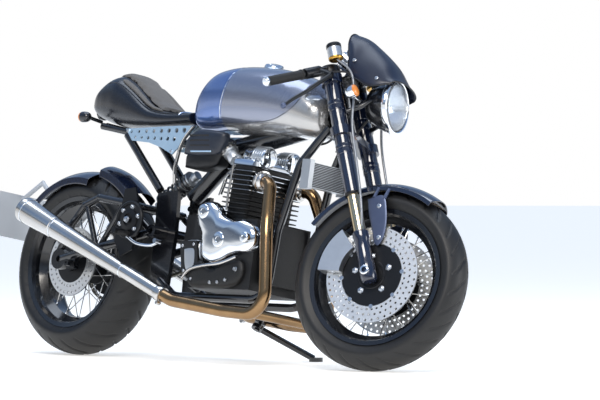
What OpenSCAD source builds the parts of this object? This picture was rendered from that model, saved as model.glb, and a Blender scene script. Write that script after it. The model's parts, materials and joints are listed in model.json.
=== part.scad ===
// Cafe racer motorcycle: air-cooled parallel twin, spoked wheels, single seat,
// standing on its side stand with the steering turned onto its left stop.
// Millimetres. +X forward, +Y left, +Z up, floor at z = 0.
// Every piece is drawn upright and straight, x measured from the rear axle, z from the floor,
// then leaned onto the stand; the fork pieces are turned about the steering axis first.

/* [Stance] */
// distance between the wheel axles
wheelbase = 1420; // [1180:5:1710]
// steering head angle from vertical
rake_deg = 24; // [22:0.5:28]
// ground trail of the front wheel
trail = 99; // [82:1:119]
// lean to the left on the side stand
lean_deg = 10.3; // [8:0.1:12.5]
// steering lock each side; the bike rests on its left lock
lock_deg = 20; // [15:1:24]

/* [Wheels] */
// front tyre outside diameter
front_tyre_d = 600; // [560:1:720]
// front tyre width
front_tyre_w = 120; // [100:1:130]
// rear tyre outside diameter
rear_tyre_d = 630; // [525:1:700]
// rear tyre width
rear_tyre_w = 180; // [150:1:216]
// bead seat diameter of both rims
rim_d = 432; // [380:1:445]
// spokes in each wheel
spoke_count = 36; // [28:4:44]
// spoke thickness
spoke_d = 4; // [3:0.5:5]
// front brake disc diameter
front_disc_d = 320; // [260:5:350]
// rear brake disc diameter
rear_disc_d = 240; // [200:5:290]
// rear sprocket diameter
sprocket_d = 190; // [158:2:228]

/* [Fork] */
// distance between the fork legs
fork_spread = 210; // [196:1:252]
// outer fork tube diameter
fork_tube_d = 54; // [48:1:60]
// sliding tube diameter
stanchion_d = 43; // [38:1:46]
// bore through the hollow front axle
axle_bore_d = 17; // [14:0.5:20]
// bore through the steering stem
stem_bore_d = 22; // [18:0.5:25]
// sideways reach of each bar from its fork leg to the grip end
bar_reach = 235; // [200:5:282]
// headlight outside diameter
headlight_d = 187; // [156:1:200]

/* [Body] */
// widest part of the fuel tank
tank_w = 272; // [226:2:326]
// height of the tank
tank_h = 246; // [205:2:290]
// length of the tank
tank_l = 614; // [512:2:640]
// widest part of the seat
seat_w = 232; // [194:2:278]
// largest hole in the drilled side plates
plate_hole_d = 19; // [12:1:22]

/* [Engine] */
// width of the crankcase block
case_w = 250; // [210:2:280]
// width of the cylinder block across both bores
barrel_w = 248; // [208:2:298]
// forward lean of the cylinders
cylinder_cant_deg = 4; // [0:0.5:9]
// cooling fins on the cylinders
fin_count = 10; // [7:1:12]
// exhaust pipe diameter
pipe_d = 43; // [36:1:51]
// silencer diameter at its tail
silencer_d = 90; // [75:1:108]

/* [Mounts] */
// thread of the paddock stand bobbins on the swingarm
bobbin_thread_d = 8; // [6:0.5:10]

/* [Hidden] */

clear = 5;                // least gap beside anything that moves
wall_gap = 1;             // gap beside anything bolted on
rr = rear_tyre_d / 2;
rf = front_tyre_d / 2;
// tyre crown arcs: the tread drops by a share of the section height at its edges
function crown_arc(r, w, share) = let (drop = (r - rim_d / 2) * share) (w * w / 4 + drop * drop) / (2 * drop);
crown_r = crown_arc(rr, rear_tyre_w, 0.55966);
crown_f = crown_arc(rf, front_tyre_w, 0.45839);
stem_x = wheelbase + trail;
// front axle seen from the steering axis: ahead of it, and up along it
axle_ahead = -trail * cos(rake_deg) + rf * sin(rake_deg);
axle_up = trail * sin(rake_deg) + rf * cos(rake_deg);
leg_y = fork_spread / 2;
leg_r = fork_tube_d / 2;
low_yoke = 798;           // height of each yoke along the steering axis
top_yoke = 985;
head_low = low_yoke + 46;
head_high = top_yoke - 10;

// how the wheels meet the floor once leaned and steered
nz = -cos(lock_deg) * sin(lean_deg) - sin(rake_deg) * sin(lock_deg) * cos(lean_deg);
camber = asin(-nz);
fz = axle_up * cos(rake_deg) + axle_ahead * sin(rake_deg) * cos(lock_deg);
fy = axle_ahead * sin(lock_deg);
front_gap = fz * cos(lean_deg) - fy * sin(lean_deg) - (rf - crown_f) * cos(camber) - crown_f;
rear_gap = rr * cos(lean_deg) - (rr - crown_r) * cos(lean_deg) - crown_r;
pitch_deg = asin((front_gap - rear_gap) / wheelbase);
lift = -rear_gap;
centre_x = -651.1;
centre_y = -120.3;

module bike() {
  translate([centre_x, centre_y, lift]) rotate([0, pitch_deg, 0]) rotate([-lean_deg, 0, 0])
    children();
}
// the steering axis: local z runs up the stem, local x is ahead of it
module steered() {
  bike() translate([stem_x, 0, 0]) rotate([0, -rake_deg, 0]) rotate([0, 0, lock_deg])
    children();
}
// a point given ahead of and up the steering axis, in the frame's own terms
function on_stem(ahead, up, y = 0) = [stem_x - up * sin(rake_deg) + ahead * cos(rake_deg), y,
  up * cos(rake_deg) + ahead * sin(rake_deg)];
// the front wheel drawn about its own axle line, y along the axle
module at_front_axle() {
  steered() translate([axle_ahead, 0, axle_up]) rotate([0, rake_deg, 0]) children();
}
module at_rear_axle() { bike() translate([0, 0, rr]) children(); }
module both_sides() { children(); mirror([0, 1, 0]) children(); }

// round bar between two points
module bar(a, b, r, n = 32) {
  d = b - a; l = norm(d);
  translate(a) rotate([0, acos(d.z / l), atan2(d.y, d.x)]) cylinder(h = l, r = r, $fn = n);
}
// round bar through a list of points, a slightly larger ball at each bend
module bar_path(p, r, n = 32) {
  for (i = [0 : len(p) - 2]) bar(p[i], p[i + 1], r, n);
  for (i = [1 : len(p) - 2]) translate(p[i]) sphere(r = r + 0.8, $fn = 24);
}
// solid skinned over rings of equal length
module skin(rings) {
  n = len(rings[0]); m = len(rings);
  polyhedron(points = [for (r = rings) for (p = r) p],
    faces = concat([[for (j = [0 : n - 1]) j]],
      [for (i = [0 : m - 2]) for (j = [0 : n - 1])
        [(i + 1) * n + j, i * n + (j + 1) % n, i * n + j]],
      [for (i = [0 : m - 2]) for (j = [0 : n - 1])
        [(i + 1) * n + j, (i + 1) * n + (j + 1) % n, i * n + (j + 1) % n]],
      [[for (j = [n - 1 : -1 : 0]) (m - 1) * n + j]]));
}
// closed rounded ring in the plane x: half width w, from zb up to zt, squareness e
function ring(x, w, zb, zt, e = 2.6, n = 28) = [for (j = [0 : n - 1]) let (a = 360 * j / n,
  c = cos(a), s = sin(a)) [x, w * sign(c) * pow(abs(c), 2 / e),
    (zb + zt) / 2 + (zt - zb) / 2 * sign(s) * pow(abs(s), 2 / e)]];
// centre line of a bent tube: straight runs joined by bends of the given radii, k steps a bend
function bend(a, b, c, r, k) = let (u = (a - b) / norm(a - b), v = (c - b) / norm(c - b),
  h = acos(u * v) / 2, m = (u + v) / norm(u + v), w = (v - u) / norm(v - u), o = b + m * r / sin(h))
  [for (i = [0 : k]) let (q = (90 - h) * (2 * i / k - 1)) o + r * (w * sin(q) - m * cos(q))];
function bent(p, r, k = 6) = concat([p[0]], [for (i = [1 : len(p) - 2])
  each bend(p[i - 1], p[i], p[i + 1], r[i - 1], k)], [p[len(p) - 1]]);
// round pipe along a centre line that stays near a plane square to ref
module pipe_along(c, r, n = 24, ref = [0, 1, 0]) {
  m = len(c);
  skin([for (i = [0 : m - 1]) let (d = c[min(i + 1, m - 1)] - c[max(i - 1, 0)], s = cross(d, ref),
    u = s / norm(s), v = cross(d, u) / norm(d)) [for (j = [0 : n - 1]) let (a = 360 * j / n)
      c[i] + r * (cos(a) * u + sin(a) * v)]]);
}
// flat plate in the x-z plane, from y to y + t
module plate_xz(y, t, pts) {
  translate([0, y + t, 0]) rotate([90, 0, 0]) linear_extrude(t) polygon(pts);
}

// ---- wheels ----
module turned() { rotate([90, 0, 0]) rotate_extrude($fn = 96) children(); }
module tyre(r, w, crown) {
  half = w / 2; edge = r - crown + sqrt(crown * crown - half * half); bead = rim_d / 2;
  tuck = (r - bead) * 0.12; flange = 14.5;
  turned() difference() {
    union() {
      intersection() {
        translate([r - crown, 0]) circle(r = crown, $fn = 96);
        translate([edge, -half]) square([r, w]);
      }
      polygon([[edge + 0.1, half], [edge - tuck, half - 1], [bead + flange, half * 0.8],
        [bead + 8, half * 0.8], [bead, half * 0.76], [bead, -half * 0.76], [bead + 8, -half * 0.8],
        [bead + flange, -half * 0.8], [edge - tuck, 1 - half], [edge + 0.1, -half]]);
    }
    translate([bead - 1, -half * 0.6]) square([30, half * 1.2]);
  }
}
// rim section: a flange, bead seat and well mirrored about the middle
module rim(w) {
  half = w / 2; b = rim_d / 2;
  side = [[b - 20, half * 0.3], [b - 0.5, half * 0.55], [b - 0.5, half * 0.76 + 0.3],
    [b + 8.5, half * 0.8 + 0.5], [b + 14, half * 0.8 + 1], [b + 14, half * 0.8 + 7],
    [b - 1, half * 0.76 + 7], [b - 7, half * 0.7], [b - 7, half * 0.5], [b - 28, half * 0.25]];
  turned() polygon(concat(side, [for (i = [len(side) - 1 : -1 : 0]) [side[i].x, -side[i].y]]));
}
// crossed spokes from the hub flanges to the rim well
module spokes(hub_r, hub_y, w) {
  step = 360 / spoke_count; out = rim_d / 2 - 28 - wall_gap;
  for (i = [0 : spoke_count - 1]) {
    side = i % 2 == 0 ? 1 : -1;
    swing = (i % 4 < 2 ? 1 : -1) * 34;
    a = i * step; h = a + swing;
    bar([hub_r * cos(h), side * hub_y, hub_r * sin(h)],
        [out * cos(a), side * w * 0.1, out * sin(a)], spoke_d / 2, 8);
  }
}
module ring_disc(ro, ri, t) {
  rotate([90, 0, 0]) difference() {
    cylinder(h = t, r = ro, center = true, $fn = 96);
    cylinder(h = t + 2, r = ri, center = true, $fn = 96);
  }
}
front_disc_y = leg_y - 33;
carrier_r = front_disc_d * 0.325;
front_flange_y = 30;
rear_flange_y = 42;
rear_disc_y = rear_tyre_w * 0.42;
module rear_tyre() color([0.1, 0.1, 0.1]) at_rear_axle() tyre(rr, rear_tyre_w, crown_r);
module rear_rim() color("black") at_rear_axle() rim(rear_tyre_w);
module rear_spokes() color("silver") at_rear_axle() spokes(63, rear_flange_y, rear_tyre_w);
module rear_hub() color("black") at_rear_axle() difference() {
  rotate([90, 0, 0]) union() {
    translate([0, 0, -chain_y + 3]) cylinder(h = chain_y + rear_disc_y + 8, r = 33, $fn = 64);
    for (s = [-1, 1]) translate([0, 0, s * rear_flange_y]) cylinder(h = 8, r = 60, center = true, $fn = 64);
    translate([0, 0, -chain_y]) cylinder(h = 7, r = sprocket_d / 2 - 6, center = true, $fn = 64);
    translate([0, 0, -chain_y + 3]) cylinder(h = chain_y - 3 - rear_flange_y, r = 56, $fn = 64);
  }
  rotate([90, 0, 0]) cylinder(h = 400, r = 11, center = true, $fn = 32);
}
module rear_disc() color("silver") at_rear_axle()
  translate([0, -rear_disc_y, 0]) ring_disc(rear_disc_d / 2, 33 + wall_gap, 5);
module front_tyre() color([0.1, 0.1, 0.1]) at_front_axle() tyre(rf, front_tyre_w, crown_f);
module front_rim() color("black") at_front_axle() rim(front_tyre_w);
module front_spokes() color("silver") at_front_axle() spokes(55, front_flange_y, front_tyre_w);
module front_hub() color("black") at_front_axle() difference() {
  rotate([90, 0, 0]) union() {
    cylinder(h = 2 * front_disc_y, r = 28, center = true, $fn = 64);
    for (s = [-1, 1]) translate([0, 0, s * front_disc_y]) cylinder(h = 6, r = carrier_r, center = true, $fn = 64);
    for (s = [-1, 1]) translate([0, 0, s * front_flange_y]) cylinder(h = 8, r = 52, center = true, $fn = 64);
  }
  rotate([90, 0, 0]) cylinder(h = 400, r = 13 + clear, center = true, $fn = 32);
}
module front_discs() color("silver") at_front_axle() both_sides()
  translate([0, front_disc_y, 0]) ring_disc(front_disc_d / 2, carrier_r + wall_gap, 5);

// ---- frame ----
stand_pivot = [760, 122, 140];
stand_reach = [130, 164];   // how far the foot stands ahead and out from the pivot
stand_xy = [stand_pivot.x + stand_reach.x, stand_pivot.y + stand_reach.y];
// the foot's sole comes down onto the floor the machine leans over
stand_foot = [stand_xy.x, stand_xy.y,
  ((6 - lift + stand_xy.x * sin(pitch_deg)) / cos(pitch_deg) + stand_xy.y * sin(lean_deg)) / cos(lean_deg)];
stand_dir = (stand_foot - stand_pivot) / norm(stand_foot - stand_pivot);
fold_dir = [-0.97, 0.10, -0.05];
stand_normal = cross(stand_dir, fold_dir);
stand_axis = stand_normal / norm(stand_normal);
module on_stand_pin() {
  translate(stand_pivot) rotate([0, acos(stand_axis.z), atan2(stand_axis.y, stand_axis.x)]) children();
}
pivot = [455, 0, 420];
pivot_r = 22;
beam_y = rear_tyre_w / 2 + 40;
chain_y = rear_tyre_w / 2 + 11;
plate_y = 76;
spine_a = on_stem(-24, (head_low + head_high) / 2);
spine_b = [690, 0, 730];
module frame_spine() color("black") bike() {
  difference() {
    union() {
      bar(on_stem(0, head_low), on_stem(0, head_high), 32, 48);
      bar(spine_a, spine_b, 34, 48);
      translate(spine_b) sphere(r = 35, $fn = 32);
      bar(spine_b, [500, 0, 560], 30, 48);
    }
    bar(on_stem(0, head_low - 5), on_stem(0, head_high + 5), 15 + clear, 48);
  }
  // seat rails, their cross bars, and the wide struts down to the pivot plates
  both_sides() {
    bar([610, 40, 716], [70, 84, 792], 12);
    bar([200, 78, 762], [402, plate_y, 571], 14);
  }
  bar([96, -88, 790], [96, 88, 790], 13);
}
tube_top = on_stem(-14, head_low + 30, 48);
tube_knee = [stem_x - 453, 78, 664];
module frame_cradle() color("black") bike() {
  // side stand bracket: a disc and its pin, hung from the left lower rail
  on_stand_pin() {
    translate([0, 0, 11 + clear]) cylinder(h = 9, r = 20, $fn = 32);
    translate([0, 0, -12]) cylinder(h = 34, r = 5, $fn = 32);
    translate([0, 0, -12]) cylinder(h = 4, r = 9, $fn = 32);
  }
  bar(stand_pivot + stand_axis * 22, [stand_pivot.x, 95, 208], 9, 24);
  both_sides() {
  pipe_along(bent([tube_top, tube_knee, [1018, 92, 440], [1008, 95, 208],
    [560, 95, 208], [462, plate_y, 262]], [90, 120, 76, 90], 5), 14, 16);
  difference() {
    plate_xz(plate_y - 8, 16, [[400, 560], [500, 572], [512, 420], [505, 235], [420, 235], [408, 420]]);
    bar([pivot.x, 0, pivot.z], [pivot.x, 200, pivot.z], pivot_r + wall_gap, 48);
  }
  }
}
module swingarm() color("black") bike() difference() {
  union() {
    both_sides() {
      bar_path([[-14, beam_y, rr + 25], [34, beam_y, rr + 122], [90, beam_y, rr + 190],
        [160, beam_y, rr + 218], [300, beam_y, rr + 200], [pivot.x - 10, beam_y, pivot.z]], 13);
      bar([0, beam_y, rr], [pivot.x, beam_y, pivot.z], 16);
      bar([98, beam_y, rr + 196], [176, beam_y, rr + 40], 10);
      bar([290, beam_y, rr + 202], [190, beam_y, rr + 44], 10);
      translate([0, beam_y, rr]) rotate([90, 0, 0]) cylinder(h = 26, r = 36, center = true, $fn = 48);
      // paddock stand bobbins
      translate([64, beam_y, rr - 12]) cube([40, 20, 40], center = true);
      translate([64, beam_y + 8, rr - 14]) rotate([-90, 0, 0]) cylinder(h = 24, r = 12, $fn = 32);
    }
    bar([pivot.x, -beam_y - 15, pivot.z], [pivot.x, beam_y + 15, pivot.z], pivot_r, 48);
    bar([312, -beam_y, rr + 196], [312, beam_y, rr + 196], 15);
  }
  both_sides() bar([64, beam_y - 6, rr - 14], [64, beam_y + 60, rr - 14], bobbin_thread_d / 2);
  bar([0, -200, rr], [0, 200, rr], 11);
  bar([pivot.x, -200, pivot.z], [pivot.x, 200, pivot.z], 10);
}
module shock() color("silver") bike() {
  bar([321.5, 0, rr + 212.3], [500, 0, 640], 16);
  bar([338, 0, rr + 226], [482, 0, 628], 31, 48);
}

// ---- engine ----
module engine_block() color("gray") bike() {
  translate([650, -case_w / 2, 236]) cube([300, case_w, 236]);
  translate([945, -78, 262]) cube([43, 156, 200]);
  translate([540, -62, 330]) cube([120, 124, 160]);
  plate_xz(-case_w / 2 - 26, 40, [[617, 389], [700, 391], [719, 300], [745, 284], [693, 249], [640, 290]]);
}
barrel_x = 818;
barrel_z = 478;
head_h = 176;             // barrel and head together
module canted() { translate([barrel_x, 0, barrel_z]) rotate([0, cylinder_cant_deg, 0]) children(); }
module cylinders() color("black") bike() canted() {
  translate([-52, -barrel_w / 2 + 18, 0]) cube([104, barrel_w - 36, head_h]);
  for (i = [0 : fin_count - 1])
    translate([-66, -barrel_w / 2, 14 + i * (head_h - 18) / fin_count]) cube([132, barrel_w, 5]);
  both_sides() translate([40, 88, 126]) rotate([0, 84, 0]) cylinder(h = 36, r = 29, $fn = 32);
}
module rocker_cover() color("silver") bike() canted() {
  translate([-58, -barrel_w / 2 + 14, head_h + wall_gap]) cube([124, barrel_w - 28, 22]);
  both_sides() translate([0, 58, head_h + wall_gap + 36.5]) {
    rotate([0, 90, 0]) cylinder(h = 72, r = 36, $fn = 48);
    translate([-40, 0, 0]) rotate([0, 90, 0]) cylinder(h = 60, r = 30, $fn = 48);
  }
}
timing_outline = [[680, 483], [691, 507], [712, 523], [746, 525], [778, 508], [807, 481], [868, 465],
  [916, 464], [944, 453], [962, 438], [972, 416], [972, 390], [962, 372], [940, 357], [900, 351],
  [863, 341], [828, 324], [791, 313], [761, 319], [733, 335], [721, 372], [714, 413], [692, 450]];
// the cover stands outside the wider of crankcase and barrels, and is relieved round the fins
cover_in = max(case_w, barrel_w) / 2 + wall_gap;
module timing_cover() color("silver") bike() difference() {
  union() {
  plate_xz(-cover_in - 46, 46 + cover_in - case_w / 2 - wall_gap, timing_outline);
  // back wall where the cover's upper lobe stands above the block
  plate_xz(-case_w / 2 - 8, 60, [[700, 478], [712, 516], [740, 518], [740, 478]]);
  }
  canted() translate([-67, -barrel_w / 2 - wall_gap, 8]) cube([134, barrel_w + 2 * wall_gap, 200]);
}
module primary_cover() color("silver") bike() translate([0, case_w / 2 + wall_gap, 0]) {
  translate([880, 0, 360]) rotate([-90, 0, 0]) cylinder(h = 44, r = 86, $fn = 64);
  translate([726, 0, 372]) rotate([-90, 0, 0]) cylinder(h = 46, r = 72, $fn = 64);
  translate([730, 0, 292]) cube([150, 40, 145]);
}
module throttle_bodies() color("silver") bike() both_sides() {
  bar([744, 66, 680], [706, 70, 708], 25, 32);
  bar([712, 70, 704], [686, 73, 723], 31, 32);
}
module oil_cooler() color("silver") bike() translate([tube_knee.x + 32, 0, 0]) {
  translate([0, -78, 590]) cube([30, 156, 82]);
  both_sides() translate([-4, 76, 582]) cube([38, 20, 98]);
  both_sides() bar([-17, 80, 650], [0, 86, 650], 5, 16);
}

// ---- exhaust ----
muffler_a = [600, -188, 200];
muffler_b = [-128, -(rear_tyre_w / 2 + 79 + silencer_d / 2), 474];
muffler_dir = (muffler_b - muffler_a) / norm(muffler_b - muffler_a);
pipe = [[909, -88, 603], [962, -100, 596], [1013, -142, 450], [1068, -150, 150], [880, -158, 158],
  [650, -183, 182], muffler_a - 16 * muffler_dir];
pipe_r = [46, 300, 70, 300, 120];
module exhaust_pipes() color("peru") bike() {
  both_sides() pipe_along(bent(pipe, pipe_r), pipe_d / 2);
  bar([985, -150, 158], [985, 150, 158], 17);
}
module silencers() color("silver") bike() both_sides() {
  d = muffler_b - muffler_a; l = norm(d); end_r = silencer_d / 2; neck_r = pipe_d / 2 + 2.5;
  translate(muffler_a) rotate([0, acos(d.z / l), atan2(d.y, d.x)]) difference() {
    union() {
      translate([0, 0, -12]) cylinder(h = 214, r = neck_r, $fn = 64);
      translate([0, 0, 200]) cylinder(h = 400, r1 = neck_r + 0.4, r2 = end_r * 0.8, $fn = 64);
      translate([0, 0, 598]) cylinder(h = l - 598, r1 = end_r * 0.82, r2 = end_r, $fn = 64);
    }
    translate([0, 0, l - 60]) cylinder(h = 70, r = end_r - 10, $fn = 64);
  }
}

// ---- body ----
yoke_back = leg_y * sin(lock_deg) - axle_ahead * cos(lock_deg) + leg_r + 9;  // reach of a turned leg clamp
// stations along the tank: share of length, of half width, floor, share of height
tank_x = 516;
tank_floor = 758;
tank_st = [[0, 0.44, 34, 0.42], [0.016, 0.58, 28, 0.58], [0.055, 0.70, 24, 0.77], [0.13, 0.80, 22, 0.92],
  [0.23, 0.88, 22, 0.98], [0.355, 0.95, 17, 1.0], [0.51, 0.99, 12, 0.985], [0.655, 1.0, 8, 0.94],
  [0.785, 0.96, 4, 0.85], [0.88, 0.86, 0, 0.73], [0.945, 0.74, 0, 0.60], [0.985, 0.60, 6, 0.48],
  [1, 0.44, 16, 0.38]];
module fuel_tank() color("slategray") bike() difference() {
  skin([for (s = tank_st) ring(tank_x + tank_l * s[0], tank_w / 2 * s[1], tank_floor + s[2],
    tank_floor + tank_h * s[3], 2.6)]);
  // tunnel over the spine
  translate(spine_b - [0, 0, 2]) {
    d = spine_a - spine_b;
    rotate([0, -atan2(d.z, d.x), 0]) translate([-260, -39, -160]) cube([norm(d) + 400, 78, 200]);
  }
  bar(on_stem(0, head_low - 80), on_stem(0, head_high + 90), 32 + clear, 48);
  // room for the top yoke to turn
  translate([stem_x, 0, 0]) rotate([0, -rake_deg, 0]) translate([-yoke_back - clear, -200, top_yoke - clear])
    cube([200, 400, 200]);
  both_sides() bar(tube_top, tube_knee, 14 + clear);
}
seat_st = [[-22, 0.34, 866, 894], [-8, 0.58, 845, 914], [22, 0.79, 826, 944], [62, 0.90, 812, 972],
  [100, 0.96, 803, 987], [135, 1.0, 796, 988], [170, 1.0, 791, 974], [215, 1.0, 788, 945],
  [255, 0.99, 787, 915], [290, 0.98, 787, 889], [325, 0.97, 787, 871], [380, 0.93, 789, 859],
  [440, 0.84, 794, 856], [506, 0.74, 800, 860]];
pad_t = 14;
module seat_base() color([0.08, 0.08, 0.09]) bike()
  skin([for (s = seat_st) ring(s[0], seat_w / 2 * s[1], s[2], s[3] - pad_t, 3)]);
// a pad ring lying on the seat: its underside follows the seat, its top rises by t
function seat_top(s, y) = let (w = seat_w / 2 * s[1], zb = s[2], zt = s[3] - pad_t)
  (zb + zt) / 2 + (zt - zb) / 2 * pow(1 - pow(min(abs(y) / w, 1), 3), 1 / 3);
function pad_ring(s, k, t) = let (wp = seat_w / 2 * s[1] * k)
  concat([for (j = [0 : 12]) let (y = wp * cos(15 * j))
      [s[0], y, seat_top(s, y) + 1 + t * pow(max(1 - pow(abs(y) / wp, 4), 0), 0.4)]],
    [for (j = [1 : 11]) let (y = -wp * cos(15 * j)) [s[0], y, seat_top(s, y) + 0.9]]);
module seat_pad() color([0.3, 0.3, 0.32]) bike()
  skin([for (i = [4 : 12]) pad_ring(seat_st[i], 0.84, i == 4 || i == 12 ? 6 : pad_t)]);
module side_plates() color("lightsteelblue") bike() both_sides() difference() {
  plate_xz(seat_w / 2 - 8, 5, [[225, 778], [263, 737], [351, 730], [415, 713], [475, 689], [579, 788], [489, 788]]);
  for (i = [0 : 7]) translate([255 + i * 38, seat_w, 768 + i * 0.6]) rotate([90, 0, 0])
    cylinder(h = seat_w, r = plate_hole_d * (0.28 + 0.028 * i), $fn = 24);
  for (i = [0 : 6]) translate([278 + i * 33, seat_w, 749 - i * 1.2]) rotate([90, 0, 0])
    cylinder(h = seat_w, r = plate_hole_d * (0.26 + 0.025 * i), $fn = 24);
}
module side_covers() color([0.12, 0.13, 0.15]) bike() {
  both_sides() difference() {
    plate_xz(96, 38, [[540, 735], [609, 778], [734, 768], [736, 734], [716, 706], [696, 652], [602, 636],
      [541, 642]]);
    for (i = [0 : 3]) translate([566 + i * 5, 127, 754 - i * 21]) rotate([0, 3, 0]) cube([112, 12, 9]);
    bar([744, 66, 680], [673, 74.5, 732.5], 31 + wall_gap);
  }
  both_sides() translate([566, 44, 650]) cube([90, 54, 40]);
}
module rear_sets() color([0.1, 0.1, 0.11]) bike() both_sides() {
  plate_xz(beam_y + 26, 8, [[300, 380], [320, 560], [372, 566], [420, 452], [392, 352], [340, 330]]);
  bar([372, beam_y + 20, 404], [372, beam_y + 108, 408], 11);
  bar([340, beam_y - 6, 540], [340, beam_y + 30, 540], 9);
}
// arched sheet round a wheel from angle a0 to a1, measured up from forward
module arc_guard(r, w, depth, a0, a1, t = 3) {
  crown = w * 0.8;
  rotate([90, 0, 0]) rotate([0, 0, a0]) rotate_extrude(angle = a1 - a0, $fn = 128) difference() {
    union() {
      intersection() {
        translate([r - crown, 0]) circle(r = crown, $fn = 96);
        translate([r - w * 0.3, -w / 2]) square([w, w]);
      }
      translate([r - depth, -w / 2]) square([depth - w * 0.22, w]);
    }
    intersection() {
      translate([r - crown, 0]) circle(r = crown - t, $fn = 96);
      translate([r - w * 0.3 - t, -w / 2 + t]) square([w, w - 2 * t]);
    }
    translate([r - depth - 1, -w / 2 + t]) square([depth - w * 0.2, w - 2 * t]);
  }
}
module rear_mudguard() color([0.08, 0.1, 0.16]) at_rear_axle() {
  translate([-12, 0, 7]) arc_guard(rr + 7, rear_tyre_w + 18, 58, 78, 137);
  arc_guard(rr + 40, rear_tyre_w - 56, 48, 46, 79);
}
module number_plate() color("gainsboro") bike() {
  translate([-405, -108, 398]) cube([3, 216, 158]);
  bar([-403, 0, 540], [-300, 0, 606], 8, 24);
  bar([-306, 0, 604], [-240.4, 0, rr + 238.3], 8, 24);
}
module rear_lights() color("firebrick") bike() {
  translate([seat_st[0][0] - wall_gap, 0, 856]) rotate([0, -90, 0]) cylinder(h = 22, r = 28, $fn = 48);
  both_sides() {
    bar([62, 84, 806], [62, 146, 812], 7, 24);
    translate([26, 152, 812]) rotate([0, 90, 0]) cylinder(h = 46, r = 19, $fn = 32);
  }
}
front_sprocket = [520, 408];
module chain() color("silver") bike() translate([0, chain_y, 0]) {
  r1 = sprocket_d / 2 + 8; r2 = 48; d = norm([front_sprocket.x, front_sprocket.y - rr]);
  tilt = atan2(front_sprocket.y - rr, front_sprocket.x); open = asin((r1 - r2) / d);
  run = d * cos(open);
  translate([0, 0, rr]) rotate([0, -tilt, 0]) {
    rotate([0, open, 0]) translate([-2, -6, r1 - 6]) cube([run + 4, 12, 12]);
    rotate([0, -open, 0]) translate([-2, -6, -r1 - 6]) cube([run + 4, 12, 12]);
    rotate([90, 0, 0]) rotate([0, 0, 90 - open]) rotate_extrude(angle = 180 + 2 * open, $fn = 96)
      translate([r1 - 5.5, -6.5]) square([11, 13]);
  }
  translate([front_sprocket.x, 0, front_sprocket.y]) rotate([0, -tilt, 0]) rotate([90, 0, 0])
    rotate([0, 0, open - 90]) rotate_extrude(angle = 180 - 2 * open, $fn = 96)
      translate([r2 - 5.5, -6.5]) square([11, 13]);
}

// ---- fork ----
module yokes() color("silver") steered() difference() {
  union() {
    for (z = [low_yoke, top_yoke]) translate([0, 0, z]) {
      linear_extrude(30) polygon([[-24, -38], [-24, 38], [12, leg_y], [axle_ahead + 22, leg_y],
        [axle_ahead + 22, -leg_y], [12, -leg_y]]);
      for (s = [-1, 1]) translate([axle_ahead, s * leg_y, 0]) cylinder(h = 30, r = leg_r + 9, $fn = 48);
      cylinder(h = 31, r = 36, $fn = 48);
    }
    translate([0, 0, low_yoke + 10]) cylinder(h = top_yoke - low_yoke, r = 15, $fn = 48);
  }
  translate([0, 0, low_yoke - 10]) cylinder(h = 260, r = stem_bore_d / 2, $fn = 48);
  for (s = [-1, 1]) translate([axle_ahead, s * leg_y, 700]) cylinder(h = 400, r = leg_r + 0.2, $fn = 48);
}
tube_low = 590;
tube_high = top_yoke + 62;
module fork_tubes() color([0.08, 0.1, 0.16]) steered() for (s = [-1, 1])
  translate([axle_ahead, s * leg_y, tube_low]) cylinder(h = tube_high - tube_low, r = leg_r, $fn = 48);
module fork_sliders() color([0.1, 0.12, 0.18]) steered() difference() {
  union() {
    for (s = [-1, 1]) translate([axle_ahead, s * leg_y, 0]) {
      translate([0, 0, axle_up + 140]) cylinder(h = tube_low - axle_up - 140, r = stanchion_d / 2, $fn = 48);
      translate([0, 0, axle_up - 30]) cylinder(h = 172, r = leg_r, $fn = 48);
    }
    translate([axle_ahead, 0, axle_up]) rotate([90, 0, 0])
      cylinder(h = fork_spread + 62, r = 13, center = true, $fn = 32);
  }
  translate([axle_ahead, 0, axle_up]) rotate([90, 0, 0])
    cylinder(h = fork_spread + 80, r = axle_bore_d / 2, center = true, $fn = 32);
}
// bar line from beside the leg, back, out and down
bar_in = [axle_ahead, leg_y + leg_r, top_yoke + 47];
bar_out = bar_in + bar_reach * [-0.557, 1, -0.3] - [0, leg_r, 0];
function along_bar(t) = bar_in + (bar_out - bar_in) * t;
module clip_ons() color("black") steered() both_sides() {
  difference() {
    union() {
      translate([axle_ahead, leg_y, top_yoke + 31 + wall_gap]) cylinder(h = 28, r = leg_r + 7, $fn = 48);
      bar(bar_in, bar_out, 11);
    }
    translate([axle_ahead, leg_y, top_yoke]) cylinder(h = 90, r = leg_r + 0.2, $fn = 48);
  }
  bar(along_bar(0.42), along_bar(1.02), 15.5);
}
module hand_levers() color([0.15, 0.15, 0.16]) steered() both_sides() {
  a = along_bar(0.14);
  difference() {
    union() {
      bar(a, along_bar(0.38), 18);
      bar(a + [2, 4, -4], a + [44, 2, -34], 12);
      bar(a + [36, 2, -28], along_bar(0.34) + [42, 0, -40], 11);
      bar(a + [8, 0, 8], a + [58, -8, 34], 7, 16);
    }
    bar(bar_in, bar_out, 11.3);
    bar(along_bar(0.418), bar_out, 16);
  }
  bar(a + [42, 14, -34], along_bar(0.6) + [42, -4, -68], 6, 24);
  bar(along_bar(0.6) + [42, -4, -68], along_bar(0.98) + [33, -6, -98], 6.5, 24);
  translate(along_bar(0.98) + [33, -6, -98]) sphere(r = 10, $fn = 24);
  translate(a + [64, -10, 22]) cylinder(h = 58, r = 25, $fn = 32);
}
module clocks() color("silver") steered() {
  both_sides() translate([98, 44, 1050]) rotate([0, -38, 0]) cylinder(h = 50, r = 36, $fn = 48);
  translate([44, -60, top_yoke + 31 + wall_gap]) cube([70, 120, 8]);
  both_sides() bar([60, 44, top_yoke + 38], [92, 44, 1056], 9, 24);
}
lamp = [199, 0, 882];
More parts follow.
